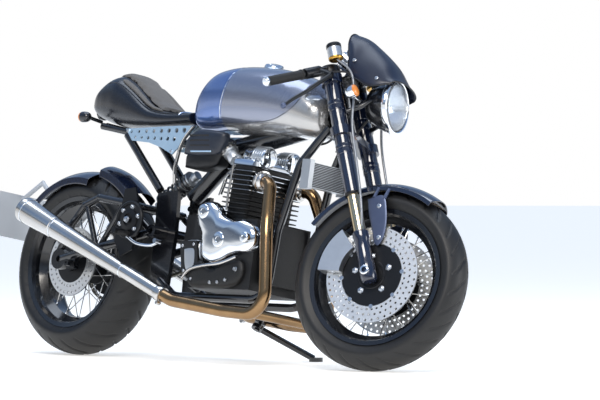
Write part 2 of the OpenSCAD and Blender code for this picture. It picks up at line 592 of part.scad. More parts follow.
module headlight() color("silver") steered() {
  r = headlight_d / 2;
  translate(lamp) rotate([0, 86 + rake_deg, 0]) {
    translate([0, 0, -16]) cylinder(h = 18, r = r, $fn = 64);
    translate([0, 0, -92]) cylinder(h = 78, r1 = r * 0.66, r2 = r - 5, $fn = 64);
    intersection() {
      translate([0, 0, -r * 1.9]) sphere(r = r * 2.1, $fn = 96);
      translate([0, 0, -4]) cylinder(h = 60, r = r - 5, $fn = 64);
    }
  }
  both_sides() bar([axle_ahead + leg_r + 4, leg_y - 8, 880], [lamp.x - 58, r * 0.74, 902], 8, 24);
}
// stations down the screen: ahead of and up the stem for the ridge and for each lower edge
screen_st = [[113, 1176, 96, 1128, 58], [155, 1142, 96, 1060, 88], [184, 1101, 92, 1003, 104],
  [212, 1054, 118, 975, 110], [233, 1010, 150, 940, 112], [245, 960, 186, 928, 108],
  [251, 905 + headlight_d / 2 - 60, 226, 925, 96]];
screen_n = 16;
function so(i, j, k = 0) = (k * len(screen_st) + i) * (screen_n + 1) + j;
module flyscreen() color([0.08, 0.1, 0.16]) steered() {
  n = screen_n; m = len(screen_st); t = 4;
  outer = [for (s = screen_st) for (j = [0 : n]) let (a = 180 * j / n, k = pow(max(sin(a), 0), 0.8))
    [s[2] + (s[0] - s[2]) * k, s[4] * cos(a), s[3] + (s[1] - s[3]) * k]];
  inner = [for (p = outer) let (d = [120, 0, 930] - p) p + d * t / norm(d)];
  shell = concat(
    [for (i = [0 : m - 2]) for (j = [0 : n - 1]) each [[so(i, j), so(i, j + 1), so(i + 1, j)],
      [so(i, j + 1), so(i + 1, j + 1), so(i + 1, j)],
      [so(i + 1, j, 1), so(i, j + 1, 1), so(i, j, 1)],
      [so(i + 1, j, 1), so(i + 1, j + 1, 1), so(i, j + 1, 1)]]],
    [for (j = [0 : n - 1]) each [[so(0, j + 1), so(0, j), so(0, j, 1)],
      [so(0, j + 1), so(0, j, 1), so(0, j + 1, 1)], [so(m - 1, j), so(m - 1, j + 1), so(m - 1, j, 1)],
      [so(m - 1, j + 1), so(m - 1, j + 1, 1), so(m - 1, j, 1)]]],
    [for (i = [0 : m - 2]) each [[so(i, 0), so(i + 1, 0), so(i, 0, 1)],
      [so(i + 1, 0), so(i + 1, 0, 1), so(i, 0, 1)], [so(i + 1, n), so(i, n), so(i, n, 1)],
      [so(i + 1, n), so(i, n, 1), so(i + 1, n, 1)]]]);
  polyhedron(points = concat(outer, inner), faces = shell);
}
// each stalk starts just outside the lamp bracket that it springs from
bracket_x = axle_ahead + leg_r + 4;
bracket_t = (112 - bracket_x) / (lamp.x - 58 - bracket_x);
stalk_y = (leg_y - 8) * (1 - bracket_t) + headlight_d / 2 * 0.74 * bracket_t + 13;
module front_indicators() color("silver") steered() both_sides() {
  bar([112, stalk_y, 902], [110, 150, 906], 7, 24);
  translate([92, 158, 912]) rotate([0, 86, 0]) cylinder(h = 42, r = 22, $fn = 32);
}
module front_mudguard() color([0.08, 0.1, 0.16]) at_front_axle() {
  arc_guard(rf + 24, front_tyre_w + 16, 38, 60, 150);
  // stays from each side down to the fork legs
  both_sides() {
    plate_xz(front_disc_y + 3 + clear + 4, 4, [[-66, rf - 55], [-13, rf - 38], [13, rf - 101], [19, 142], [9, 100],
      [-10, 104], [-30, 150], [-52, 200]]);
    for (x = [-45, -8]) bar([x, front_tyre_w / 2 + 6.5, rf - 10], [x, front_disc_y + 14, rf - 48], 6, 24);
  }
}
module front_calipers() color("silver") at_front_axle() both_sides()
  translate([0, front_disc_y, 0]) rotate([90, 0, 0]) rotate([0, 0, 133])
    rotate_extrude(angle = 50, $fn = 96) difference() {
      translate([front_disc_d / 2 - 56, -34]) square([76, 54]);
      translate([0, -3 - clear]) square([front_disc_d / 2 + clear, 6 + 2 * clear]);
    }

// ---- stand ----
module side_stand() color("black") bike() {
  difference() {
    on_stand_pin() cylinder(h = 14, r = 21, center = true, $fn = 48);
    on_stand_pin() cylinder(h = 30, r = 6, center = true, $fn = 32);
  }
  bar(stand_pivot + stand_dir * 16, stand_foot - stand_dir * 8, 11, 24);
  translate(stand_foot) rotate([lean_deg, -pitch_deg, 0]) translate([0, 0, -6])
    cylinder(h = 14, r = 24, $fn = 32);
}

frame_spine();
frame_cradle();
swingarm();
shock();
engine_block();
cylinders();
rocker_cover();
timing_cover();
primary_cover();
throttle_bodies();
oil_cooler();
exhaust_pipes();
silencers();
fuel_tank();
seat_base();
seat_pad();
side_plates();
side_covers();
rear_sets();
rear_mudguard();
number_plate();
rear_lights();
chain();
rear_tyre();
rear_rim();
rear_spokes();
rear_hub();
rear_disc();
yokes();
fork_tubes();
fork_sliders();
clip_ons();
hand_levers();
clocks();
headlight();
flyscreen();
front_indicators();
front_mudguard();
front_calipers();
front_tyre();
front_rim();
front_spokes();
front_hub();
front_discs();
side_stand();
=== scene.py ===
import bmesh, bpy, json, math
import numpy as np
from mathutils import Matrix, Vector

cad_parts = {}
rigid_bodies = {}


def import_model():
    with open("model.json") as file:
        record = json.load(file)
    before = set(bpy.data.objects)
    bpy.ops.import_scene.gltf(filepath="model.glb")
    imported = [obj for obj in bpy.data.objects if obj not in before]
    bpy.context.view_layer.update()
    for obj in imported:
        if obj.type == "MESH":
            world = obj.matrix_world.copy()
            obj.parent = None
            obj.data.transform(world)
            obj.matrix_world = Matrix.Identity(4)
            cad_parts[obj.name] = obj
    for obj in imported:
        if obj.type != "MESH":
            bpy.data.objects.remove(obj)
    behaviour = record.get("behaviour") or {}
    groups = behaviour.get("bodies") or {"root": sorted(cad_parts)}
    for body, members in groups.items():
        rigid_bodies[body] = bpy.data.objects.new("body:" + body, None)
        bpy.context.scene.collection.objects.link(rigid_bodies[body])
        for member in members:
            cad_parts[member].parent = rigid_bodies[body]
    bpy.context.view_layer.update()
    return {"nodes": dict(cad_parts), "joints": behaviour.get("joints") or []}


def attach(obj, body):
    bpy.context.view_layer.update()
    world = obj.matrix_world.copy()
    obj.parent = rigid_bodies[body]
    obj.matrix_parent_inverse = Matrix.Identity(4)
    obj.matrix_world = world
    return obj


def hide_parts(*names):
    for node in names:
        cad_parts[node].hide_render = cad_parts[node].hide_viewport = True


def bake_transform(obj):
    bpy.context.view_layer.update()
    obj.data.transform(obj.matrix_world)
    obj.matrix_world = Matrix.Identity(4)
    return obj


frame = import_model()
nodes = frame["nodes"]
joints = {j["name"]: j for j in frame["joints"]}
print("frame loaded:", len(nodes), "nodes")

# the machine's own directions come from its wheel and steering joints; lengths below are millimetres
stance = dict(rake=math.radians(24), trail=99, wheelbase=1420, rearRadius=315, frontRadius=300)


def unit(v):
    # a vector over its own length
    return v / np.linalg.norm(v, axis=-1, keepdims=True)


def jointPart(name, key):
    return np.array(joints[name][key], float)


sideways = unit(jointPart("rear_wheel_spin", "axis"))
stem = unit(jointPart("steering", "axis"))
ahead = np.cross(sideways, stem)
steeredSide = unit(jointPart("front_wheel_spin", "axis"))
steeredAhead = np.cross(steeredSide, stem)
cosRake, sinRake = math.cos(stance["rake"]), math.sin(stance["rake"])
axleAhead = -stance["trail"] * cosRake + stance["frontRadius"] * sinRake
axleUp = stance["trail"] * sinRake + stance["frontRadius"] * cosRake
stemAtGround = stance["wheelbase"] + stance["trail"]  # the steering axis meets the floor here
rearAxle, frontAxle = jointPart("rear_wheel_spin", "pos_m"), jointPart("front_wheel_spin", "pos_m")
bikeAxes = np.array([cosRake * ahead - sinRake * stem, sideways, sinRake * ahead + cosRake * stem])
wheelAxes = np.array([cosRake * steeredAhead - sinRake * stem, steeredSide,
    sinRake * steeredAhead + cosRake * stem])
forkAxes = np.array([steeredAhead, steeredSide, stem])
# each place: where its zero stands, its x, y, z directions, and its zero in its own millimetres
onBike = (rearAxle, bikeAxes, np.array([0, 0, stance["rearRadius"]]))
onFork = (frontAxle, forkAxes, np.array([axleAhead, 0, axleUp]))
onFrontWheel = (frontAxle, wheelAxes, np.zeros(3))
onRearWheel = (rearAxle, bikeAxes, np.zeros(3))


def put(place, points):
    # millimetres from the place's zero, turned to its directions, in metres from its origin
    origin, axes, zero = place
    return origin + (np.asarray(points, float) - zero) @ axes / 1000


# helpers that make a mesh and put it in its place
def gridFaces(rows, cols, wrapRows=False, wrapCols=True):
    # a quad joins each grid cell to the next row and the next column
    i = np.arange(rows if wrapRows else rows - 1)[:, None]
    j = np.arange(cols if wrapCols else cols - 1)[None, :]
    down, right = (i + 1) % rows, (j + 1) % cols
    return np.stack(np.broadcast_arrays(i * cols + j, i * cols + right, down * cols + right,
        down * cols + j), -1).reshape(-1, 4)


def surface(points, wrapRows=False, wrapCols=True):
    # a grid of points and the quads between them
    rows, cols = points.shape[:2]
    return points.reshape(-1, 3), gridFaces(rows, cols, wrapRows, wrapCols)


def makePiece(name, place, parts, finish, body, replaces=(), sharp=40, bevel=0, thick=0):
    # parts are (points, quads) in the place's millimetres; coincident points are merged and faces turned
    # out
    points, faces, count = [], [], 0
    for p, f in parts:
        points.append(put(place, p))
        faces.append(f + count)
        count += len(p)
    points, faces = np.concatenate(points), np.concatenate(faces)
    mesh = bpy.data.meshes.new(name)
    mesh.vertices.add(len(points))
    mesh.vertices.foreach_set("co", points.astype(np.float32).ravel())
    mesh.loops.add(faces.size)
    mesh.loops.foreach_set("vertex_index", faces.astype(np.int32).ravel())
    mesh.polygons.add(len(faces))
    mesh.polygons.foreach_set("loop_start", np.arange(0, faces.size, 4, dtype=np.int32))
    mesh.update(calc_edges=True)
    piece = bpy.data.objects.new(name, mesh)
    bpy.context.scene.collection.objects.link(piece)
    tidyMesh(mesh, sharp)
    mesh.materials.append(finish)
    if thick:
        addModifier(piece, "SOLIDIFY", thickness=thick / 1000, offset=-1)
    if bevel:
        addModifier(piece, "BEVEL", width=bevel / 1000, segments=2, limit_method="ANGLE")
    if body:
        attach(piece, body)
    if replaces:
        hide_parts(*replaces)
    return piece


def tidyMesh(mesh, sharp):
    # merges doubles, turns faces outwards, keeps edges over the sharp angle crisp
    work = bmesh.new()
    work.from_mesh(mesh)
    bmesh.ops.remove_doubles(work, verts=work.verts, dist=2e-6)
    bmesh.ops.recalc_face_normals(work, faces=work.faces)
    work.to_mesh(mesh)
    work.free()
    mesh.shade_smooth()
    mesh.set_sharp_from_angle(angle=math.radians(sharp))


def addModifier(piece, kind, **settings):
    modifier = piece.modifiers.new(kind.lower(), kind)
    for key, value in settings.items():
        setattr(modifier, key, value)
    return modifier


def curveThrough(points, count):
    # Catmull-Rom: each stretch is a cubic whose slopes are half the step between its neighbours
    p = np.asarray(points, float)
    p = np.concatenate([[2 * p[0] - p[1]], p, [2 * p[-1] - p[-2]]])
    t = np.linspace(0, len(p) - 3 - 1e-9, count)
    k = t.astype(int)
    t = (t - k)[:, None]
    a, b, c, d = p[k], p[k + 1], p[k + 2], p[k + 3]
    return 0.5 * (2 * b + (c - a) * t + (2 * a - 5 * b + 4 * c - d) * t**2 + (3 * b - a - 3 * c + d) * t**3)


def tube(path, radius, sides=16, near=(0, 1, 0), capped=True):
    # a circle carried square to the path; radius may change along it; near is a direction the path never
    # takes
    path = np.asarray(path, float)
    run = unit(np.gradient(path, axis=0))
    u = unit(np.cross(run, np.asarray(near, float)))
    v = np.cross(run, u)
    angle = np.linspace(0, 2 * np.pi, sides, endpoint=False)[None, :, None]
    radius = (np.zeros(len(path)) + radius)[:, None, None]
    rings = path[:, None] + radius * (np.cos(angle) * u[:, None] + np.sin(angle) * v[:, None])
    if capped:
        rings = np.concatenate([np.repeat(path[:1], sides, 0)[None], rings,
            np.repeat(path[-1:], sides, 0)[None]])
    return surface(rings)


def turned(profile, centre=(0, 0, 0), axis=(0, 1, 0), sides=48):
    # a profile of (radius, height) turned round the axis; heights run along it from the centre
    profile = np.asarray(profile, float)
    axis = unit(np.asarray(axis, float))
    u = unit(np.cross(axis, [0.31, 0.17, 0.93]))
    v = np.cross(axis, u)
    angle = np.linspace(0, 2 * np.pi, sides, endpoint=False)[None, :, None]
    radius, height = profile[:, 0][:, None, None], profile[:, 1][:, None, None]
    around = np.cos(angle) * u + np.sin(angle) * v
    return surface(np.asarray(centre, float) + height * axis + radius * around)


def copies(part, offsets):
    # the same small part at many places: its points plus each offset
    points, faces = part
    offsets = np.asarray(offsets, float).reshape(-1, 1, 3)
    many = (points[None] + offsets).reshape(-1, 3)
    return many, (faces[None] + (np.arange(len(offsets)) * len(points))[:, None, None]).reshape(-1, 4)


def bolts(places, axis, across=13, high=7, sides=6):
    # hexagon heads, a washer under each
    r = across * 0.577
    head = turned([(0, 0), (r * 1.35, 0), (r * 1.35, 1.5), (r * 1.2, 1.8), (r, 1.9), (r, high - 1),
        (r * 0.82, high), (0, high)], (0, 0, 0), axis, sides)
    return copies(head, places)


def pillow(outline, y0, height, out=-1, rings=14, round_=0.35, centre=None, count=96, lip=0):
    # a cast cover: its outline in x-z shrinks to a centre point while its height follows a quarter
    # superellipse
    o = np.asarray(outline, float)
    o = curveThrough(np.concatenate([o, o[:1]]), count + 1)[:-1]
    c = o.mean(0) if centre is None else np.asarray(centre, float)
    t = 1 - np.linspace(0, 1, rings)[1:] ** 1.6
    h = np.concatenate([[0, 0, lip], lip + (height - lip) * (1 - t ** (2 / round_)) ** 0.5])
    t = np.concatenate([[0, 1, 1], t])
    x = c[0] + (o[:, 0] - c[0])[None] * t[:, None]
    z = c[1] + (o[:, 1] - c[1])[None] * t[:, None]
    y = y0 + out * h[:, None] + 0 * x
    return surface(np.stack([x, y, z], -1))


def mirrored(part):
    # the other side: y changes sign and each face runs backwards
    points, faces = part
    return points * [1, -1, 1], faces[:, ::-1]


def bothSides(parts):
    return list(parts) + [mirrored(p) for p in parts]


def block(low, high, edge=2.0):
    # a box with softly rounded edges: a superellipse ring at each of seven heights
    low, high = np.minimum(low, high).astype(float), np.maximum(low, high).astype(float)
    mid, half = (low + high) / 2, (high - low) / 2
    a = np.linspace(0, 2 * np.pi, 4, endpoint=False) + np.pi / 4
    corner = np.stack([np.sign(np.cos(a)), np.sign(np.sin(a))], -1)
    turn = np.linspace(0, np.pi / 2, 4)
    e = min(edge, half.min() * 0.9)
    ring = (corner[:, None] * (half[:2] - e) + e * np.stack([np.cos(a[:, None] - np.pi / 4 + turn),
        np.sin(a[:, None] - np.pi / 4 + turn)], -1)).reshape(-1, 2)
    z = np.array([-half[2], -half[2], -half[2] + e * 0.3, -half[2] + e, half[2] - e, half[2] - e * 0.3,
        half[2], half[2]])
    shrink = np.array([1e3, e, e * 0.3, 0, 0, e * 0.3, e, 1e3])
    xy = np.sign(ring)[None] * np.maximum(np.abs(ring)[None] - shrink[:, None, None], 0)
    return surface(np.concatenate([mid[:2] + xy, np.broadcast_to((mid[2] + z)[:, None, None],
        xy.shape[:2] + (1,))], -1))


# finishes, named for what the real surface is, and for the painted reflection where one is painted into the
# colour
def fromHex(code):
    # sRGB hex to the linear values that the shader sockets take
    c = np.array([int(code[i : i + 2], 16) for i in (1, 3, 5)]) / 255
    c = np.where(c <= 0.04045, c / 12.92, ((c + 0.055) / 1.055) ** 2.4)
    return (*c.tolist(), 1.0)


def addNode(tree, kind, feeds=(), **settings):
    # one node with its settings, its numbers and its links
    node = tree.nodes.new("ShaderNode" + kind)
    for key, value in settings.items():
        setattr(node, key, value)
    for socket, value in dict(feeds).items():
        if isinstance(value, bpy.types.NodeSocket):
            tree.links.new(value, node.inputs[socket])
        else:
            node.inputs[socket].default_value = value
    return node


def makeFinish(name, colour, second=None, patchMm=60, roughness=(0.3, 0.4), grainMm=1.5, grainDepth=0.02,
               stretch=(1, 1, 1), speckle="Noise", **sockets):
    # two near colours in soft patches, roughness that wanders, and a fine grain raised by a bump
    material = bpy.data.materials.new(name)
    material.use_nodes = True
    tree = material.node_tree
    shader = tree.nodes["Principled BSDF"]
    for key, value in sockets.items():
        shader.inputs[key.replace("_", " ")].default_value = value
    where = addNode(tree, "TexCoord").outputs["Object"]
    stretched = addNode(tree, "Mapping", {"Vector": where, "Scale": stretch}).outputs["Vector"]
    patch = addNode(tree, "TexNoise", {"Vector": where, "Scale": 1000 / patchMm,
        "Detail": 3.0}).outputs["Fac"]
    mix = addNode(tree, "Mix", {"Factor": patch}, data_type="RGBA")
    for socket, code in ((6, colour), (7, second or colour)):
        mix.inputs[socket].default_value = fromHex(code)
    tree.links.new(mix.outputs[2], shader.inputs["Base Color"])
    if speckle == "Noise":
        grain = addNode(tree, "TexNoise", {"Vector": stretched, "Scale": 1000 / grainMm,
            "Detail": 4.0}).outputs["Fac"]
    else:
        grain = addNode(tree, "TexVoronoi",
            {"Vector": stretched, "Scale": 1000 / grainMm}).outputs["Distance"]
    wander = addNode(tree, "MapRange", {"Value": grain, "From Min": 0.3, "From Max": 0.7,
        "To Min": roughness[0], "To Max": roughness[1]})
    tree.links.new(wander.outputs["Result"], shader.inputs["Roughness"])
    if grainDepth:
        bump = addNode(tree, "Bump", {"Height": grain, "Strength": 1.0, "Distance": grainDepth / 1000})
        tree.links.new(bump.outputs["Normal"], shader.inputs["Normal"])
    return material


# stove enamel: deep, glossy, a little orange peel
blackPaint = makeFinish("blackFramePaint", "#0b0c0f", "#101218", 90, (0.16, 0.26), 1.2, 0.01,
    Coat_Weight=0.6, Coat_Roughness=0.08)
# dark blue lacquer under clear coat
navyPaint = makeFinish("navyLacquer", "#0b1224", "#111b33", 120, (0.14, 0.2), 2.5, 0.012, Coat_Weight=1.0,
    Coat_Roughness=0.05)
# the same blue left satin, a soft highlight
navySatin = makeFinish("navySatinPaint", "#0d1426", "#121b31", 120, (0.3, 0.4), 2.5, 0.012)
# grey-blue anodised brackets
slate = makeFinish("slateAnodised", "#47506a", "#566078", 40, (0.3, 0.42), 0.8, 0.01, Metallic=0.6)
# wrinkle enamel on castings
crinkle = makeFinish("crinkleEngineBlack", "#070708", "#0d0e10", 40, (0.42, 0.6), 1.6, 0.12,
    Specular_IOR_Level=0.45)
# bead blasted casting, dull shine
castAlloy = makeFinish("castAluminium", "#b9bdc2", "#cdd1d5", 30, (0.3, 0.46), 0.9, 0.06, Metallic=1.0)
# buffed cover, mirror with faint waves
polishedAlloy = makeFinish("polishedAluminium", "#d5dbe4", "#e6ebf0", 80, (0.06, 0.13), 3.0, 0.004,
    Metallic=1.0)
# bright plate
chrome = makeFinish("chromePlate", "#e3e7ec", "#eef1f4", 90, (0.03, 0.07), 4.0, 0.002, Metallic=1.0)
# drawn tube, fine lines
stainless = makeFinish("stainlessTube", "#b9b4ac", "#cfd0d2", 140, (0.14, 0.24), 0.8, 0.006, (1, 1, 14),
    Metallic=1.0)
# straw to bronze oxide from exhaust heat, and partly a painted reflection of brown ground
bronzeHeatAndReflection = makeFinish("heatTintAndPaintedReflection", "#a3855f", "#7f644a", 55, (0.14, 0.24), 1.2, 0.006,
    Metallic=1.0)
# gold nitride on the sliding tubes
champagne = makeFinish("nitridedSteel", "#b8a888", "#cbbfa4", 60, (0.12, 0.2), 1.0, 0.003, Metallic=1.0)
# sheet with a blue cast
brushedBlue = makeFinish("brushedAluminiumSheet", "#a9c6de", "#bcd6ea", 60, (0.3, 0.42), 0.9, 0.02,
    (1, 1, 10), Metallic=0.75)
# anodised aluminium, satin
blackAnodised = makeFinish("anodisedBlack", "#0d0e11", "#15171b", 40, (0.3, 0.42), 0.7, 0.02, Metallic=0.4)
# moulded plastic with a leather-like grain
blackPlastic = makeFinish("mouldedPolypropylene", "#161b26", "#1e2532", 50, (0.34, 0.46), 0.9, 0.05)
rubber = makeFinish("gripRubber", "#0e0e0f", "#161617", 25, (0.6, 0.75), 0.8, 0.08)  # soft rubber
# carbon-black rubber, dusty at the shoulders
tyreRubber = makeFinish("tyreRubber", "#0a0a0b", "#121213", 35, (0.42, 0.6), 1.6, 0.06,
    Specular_IOR_Level=0.5)
# ground stainless, circular marks
discSteel = makeFinish("brakeDiscSteel", "#dcdcdc", "#ececea", 40, (0.34, 0.46), 0.9, 0.01, Metallic=1.0)
# plated fasteners
zinc = makeFinish("zincPlatedSteel", "#c8ccd2", "#b4b9bf", 12, (0.2, 0.34), 0.8, 0.01, Metallic=1.0)
# gold anodised fittings
brass = makeFinish("goldAnodised", "#b58a3c", "#c79a4b", 20, (0.2, 0.3), 0.8, 0.01, Metallic=1.0)
# reflective plate sheeting
plateWhite = makeFinish("enamelledPlate", "#a9aeb4", "#b4b8bd", 90, (0.35, 0.45), 2.0, 0.01)
# oiled steel links
chainSteel = makeFinish("oiledChain", "#8d8a80", "#6f6c63", 14, (0.3, 0.5), 0.9, 0.03, Metallic=1.0)
# acrylic lens
lampRed = makeFinish("redLens", "#8d1410", "#a41a14", 20, (0.08, 0.14), 3.0, 0.02, Coat_Weight=0.5)
# acrylic lens
amber = makeFinish("amberLens", "#c8742a", "#d6863c", 20, (0.08, 0.14), 3.0, 0.02, Coat_Weight=0.5)
# pebbled hide, soft shine
leather = makeFinish("blackLeather", "#080b13", "#0c111d", 45, (0.26, 0.38), 2.4, 0.14, speckle="Voronoi",
    Coat_Weight=0.35, Coat_Roughness=0.2)
# napped microfibre
suede = makeFinish("greySuede", "#5b5957", "#6a6866", 18, (0.85, 0.95), 1.4, 0.2, Sheen_Weight=0.1,
    Sheen_Roughness=0.5, Specular_IOR_Level=0.15)
hose = makeFinish("rubberHose", "#0c0d10", "#15161a", 20, (0.4, 0.55), 0.8, 0.03)  # cable and hose jackets
# steel braid
braid = makeFinish("braidedHose", "#7d8085", "#9b9ea3", 3, (0.3, 0.5), 1.2, 0.15, speckle="Voronoi",
    Metallic=0.9)
# metallic base under clear coat
tankPaintAndReflections = makeFinish("silverMetallicPaintedReflections", "#6f7f9f", "#7f8eac", 160, (0.2, 0.3), 0.9, 0.006,
    Metallic=0.72, Coat_Weight=1.0, Coat_Roughness=0.04)
# pressed glass with shallow flutes
lensGlass = makeFinish("lampGlassClear", "#e8eef6", "#eef3f8", 60, (0.02, 0.05), 6.0, 0.2, (1, 6, 1),
    Transmission_Weight=0.9, IOR=1.5)
# the tank's colours are set on its own mesh, so the base colour reads them from there: silver paint, with a
# painted reflection of blue sky on the rear part and a painted reflection of the pale floor low on the front
# part
tankTree = tankPaintAndReflections.node_tree
paintAndReflectionLayer = addNode(tankTree, "VertexColor", layer_name="paintAndReflections").outputs["Color"]
tankTree.links.new(paintAndReflectionLayer, tankTree.nodes["Principled BSDF"].inputs["Base Color"])

cadFinish = dict( frame_spine=blackPaint, frame_cradle=blackPaint, swingarm=blackPaint, shock=castAlloy,
    engine_block=crinkle, cylinders=crinkle, rocker_cover=polishedAlloy, timing_cover=polishedAlloy,
    primary_cover=polishedAlloy, throttle_bodies=castAlloy, oil_cooler=castAlloy, exhaust_pipes=bronzeHeatAndReflection,
    silencers=stainless, fuel_tank=tankPaintAndReflections, seat_base=leather, seat_pad=suede, side_plates=brushedBlue,
    side_covers=blackPlastic, rear_sets=blackAnodised, rear_mudguard=navyPaint, number_plate=plateWhite,
    rear_lights=blackPlastic, chain=chainSteel, rear_tyre=tyreRubber, rear_rim=blackPaint,
    rear_spokes=stainless, rear_hub=blackAnodised, rear_disc=discSteel, yokes=navyPaint,
    fork_tubes=navyPaint, fork_sliders=navyPaint, clip_ons=blackAnodised, hand_levers=blackAnodised,
    clocks=chrome, headlight=chrome, flyscreen=navyPaint, front_indicators=chrome, front_mudguard=navyPaint,
    front_calipers=castAlloy, front_tyre=tyreRubber, front_rim=blackPaint, front_spokes=stainless,
    front_hub=blackAnodised, front_discs=discSteel, side_stand=blackPaint)
for nodeName, finish in cadFinish.items():
    held = nodes[nodeName].data.materials
    if len(held):
        held[0] = finish
    else:
        held.append(finish)
print("finishes made:", len(bpy.data.materials))


# wheels: tread, drilled discs, nipples, hub steps
tyreSizes = dict(bead=216, grooveDepth=4.0, grooves=26, rows=936, front=(120, 66), rear=(180, 100.8))


def tyre(name, place, radius, width, crown, body, node):
    # a crown arc, then walls that tuck in to the bead; grooves sink where turns round the wheel
    # plus a sweep growing with distance from the middle come near a whole number and a half
    half, bead = width / 2, tyreSizes["bead"]
    spread = math.asin(half / crown) * np.linspace(-1, 1, 41)
    y, r = crown * np.sin(spread), radius - crown + crown * np.cos(spread)
    wall = curveThrough([(r[-1], half), (r[-1] - 12, half - 0.4), (bead + 12, half * 0.83),
        (bead, half * 0.76)], 9)[1:]
    y = np.concatenate([y, wall[:, 1], -wall[::-1, 1]])
    r = np.concatenate([r, wall[:, 0], wall[::-1, 0]])
    turn = np.linspace(0, 2 * np.pi, tyreSizes["rows"], endpoint=False)[:, None]
    out = np.abs(y) / half
    phase = tyreSizes["grooves"] * turn / (2 * np.pi) + 1.15 * out**1.2 + 0.5 * (y > 0)
    near = np.abs(phase % 1 - 0.5)
    tread = np.clip((out - 0.1) / 0.06, 0, 1) * np.clip((0.9 - out) / 0.06, 0, 1) * (r > radius - crown)
    r = r - tyreSizes["grooveDepth"] * np.clip((0.1 - near) / 0.03, 0, 1) * tread
    points = np.stack([r * np.cos(turn), y + 0 * r, r * np.sin(turn)], -1)
    return makePiece(name, place, [surface(points, True, True)], tyreRubber, body, (node,),
        sharp=50)


tyre("frontTyreTread", onFrontWheel, stance["frontRadius"], *tyreSizes["front"], "front_wheel", "front_tyre")
tyre("rearTyreTread", onRearWheel, stance["rearRadius"], *tyreSizes["rear"], "rear_wheel", "rear_tyre")


def drilledRing(inner, outer, thick, columns, rows, hole, y):
    # every cell of a polar grid carries a round hole: its border and its hole are joined ring to ring
    edge = np.linspace(-1, 1, 5)[:-1]
    one = np.ones(4)
    square = np.concatenate([np.stack([edge, -one], -1), np.stack([one, edge], -1),
        np.stack([-edge, one], -1), np.stack([-one, -edge], -1)])
    turn = np.arctan2(square[:, 1], square[:, 0])
    row, column = np.divmod(np.arange(rows * columns), columns)
    deep = (outer - inner) / rows
    radius = inner + (row + 0.5) * deep
    angle = 2 * np.pi * (column + 0.5 * (row % 2)) / columns
    border = np.stack([radius[:, None] + square[:, 1] * deep / 2,
        angle[:, None] + square[:, 0] * np.pi / columns], -1)
    round_ = np.stack([radius[:, None] + hole / 2 * np.sin(turn),
        angle[:, None] + hole / 2 * np.cos(turn) / radius[:, None]], -1)
    rings = np.stack([border, round_, round_, border])
    high = np.array([1, 1, -1, -1])[:, None, None] * thick / 2
    points = np.stack([rings[..., 0] * np.cos(rings[..., 1]), y + high + 0 * rings[..., 0],
        rings[..., 0] * np.sin(rings[..., 1])], -1)
    points = points.transpose(1, 0, 2, 3)
    faces = gridFaces(4, 16)
    faces = (faces[None] + (np.arange(len(points)) * 64)[:, None, None]).reshape(-1, 4)
    around = np.linspace(0, 2 * np.pi, columns * 4, endpoint=False)
    half = np.pi / columns
    rims = [surface(np.stack([
        np.stack([r * np.cos(around + s), y + h + 0 * around, r * np.sin(around + s)], -1)
        for h in (thick / 2, -thick / 2)])) for r, s in ((inner, -half), (outer, 0 if rows % 2 == 0 else -half))]
    return [(points.reshape(-1, 3), faces)] + rims


discs = dict(front=(106, 160, 5, 42, 3, 8.5), rear=(74, 120, 5, 34, 2, 8), frontY=72, rearY=-75.6)
makePiece("frontDiscRings", onFrontWheel,
    drilledRing(*discs["front"], discs["frontY"]) + drilledRing(*discs["front"], -discs["frontY"]),
    discSteel, "front_wheel", ("front_discs",), sharp=30)
makePiece("rearDiscRing", onRearWheel, drilledRing(*discs["rear"], discs["rearY"]), discSteel, "rear_wheel",
    ("rear_disc",), sharp=30)
around = np.arange(8) * np.pi / 4 + 0.2
bobbin = turned([(0, -4.4), (7, -4.4), (7.6, -3.6), (7.6, 3.6), (7, 4.4), (3.5, 4.4), (3.2, 3.4), (0, 3.4)],
    (0, 0, 0), (0, 1, 0), 20)
spider = turned([(34, -2.4), (70, -2.4), (76, -2), (76, 2), (70, 2.4), (34, 2.4), (34, -2.4)],
    (0, discs["rearY"], 0), (0, 1, 0), 64)
makePiece("rearDiscCarrier", onRearWheel, [spider], blackAnodised, "rear_wheel")
makePiece("discBobbins", onFrontWheel,
    [copies(bobbin, np.stack([discs["front"][0] * np.cos(around), 0 * around + s * discs["frontY"],
    discs["front"][0] * np.sin(around)], -1)) for s in (-1, 1)],
    zinc, "front_wheel")
spokes = dict(count=36, nippleRadius=189, frontSide=12, rearSide=18)
spokeTurn = np.arange(spokes["count"]) * 2 * np.pi / spokes["count"]
nipple = turned([(0, -9), (3.1, -9), (3.1, -1), (4.2, 0), (4.2, 3), (0, 3)], (0, 0, 0), (1, 0, 0), 8)


def ringOfParts(part, radius, turns, y):
    # a part drawn pointing along x is carried out to the radius and turned to each angle
    points, faces = part
    c, s = np.cos(turns)[:, None], np.sin(turns)[:, None]
    x = points[None, :, 0] + radius
    many = np.stack([x * c - points[None, :, 2] * s, points[None, :, 1] + np.asarray(y)[:, None] + 0 * x,
        x * s + points[None, :, 2] * c], -1)
    quads = faces[None] + (np.arange(len(turns)) * len(points))[:, None, None]
    return many.reshape(-1, 3), quads.reshape(-1, 4)


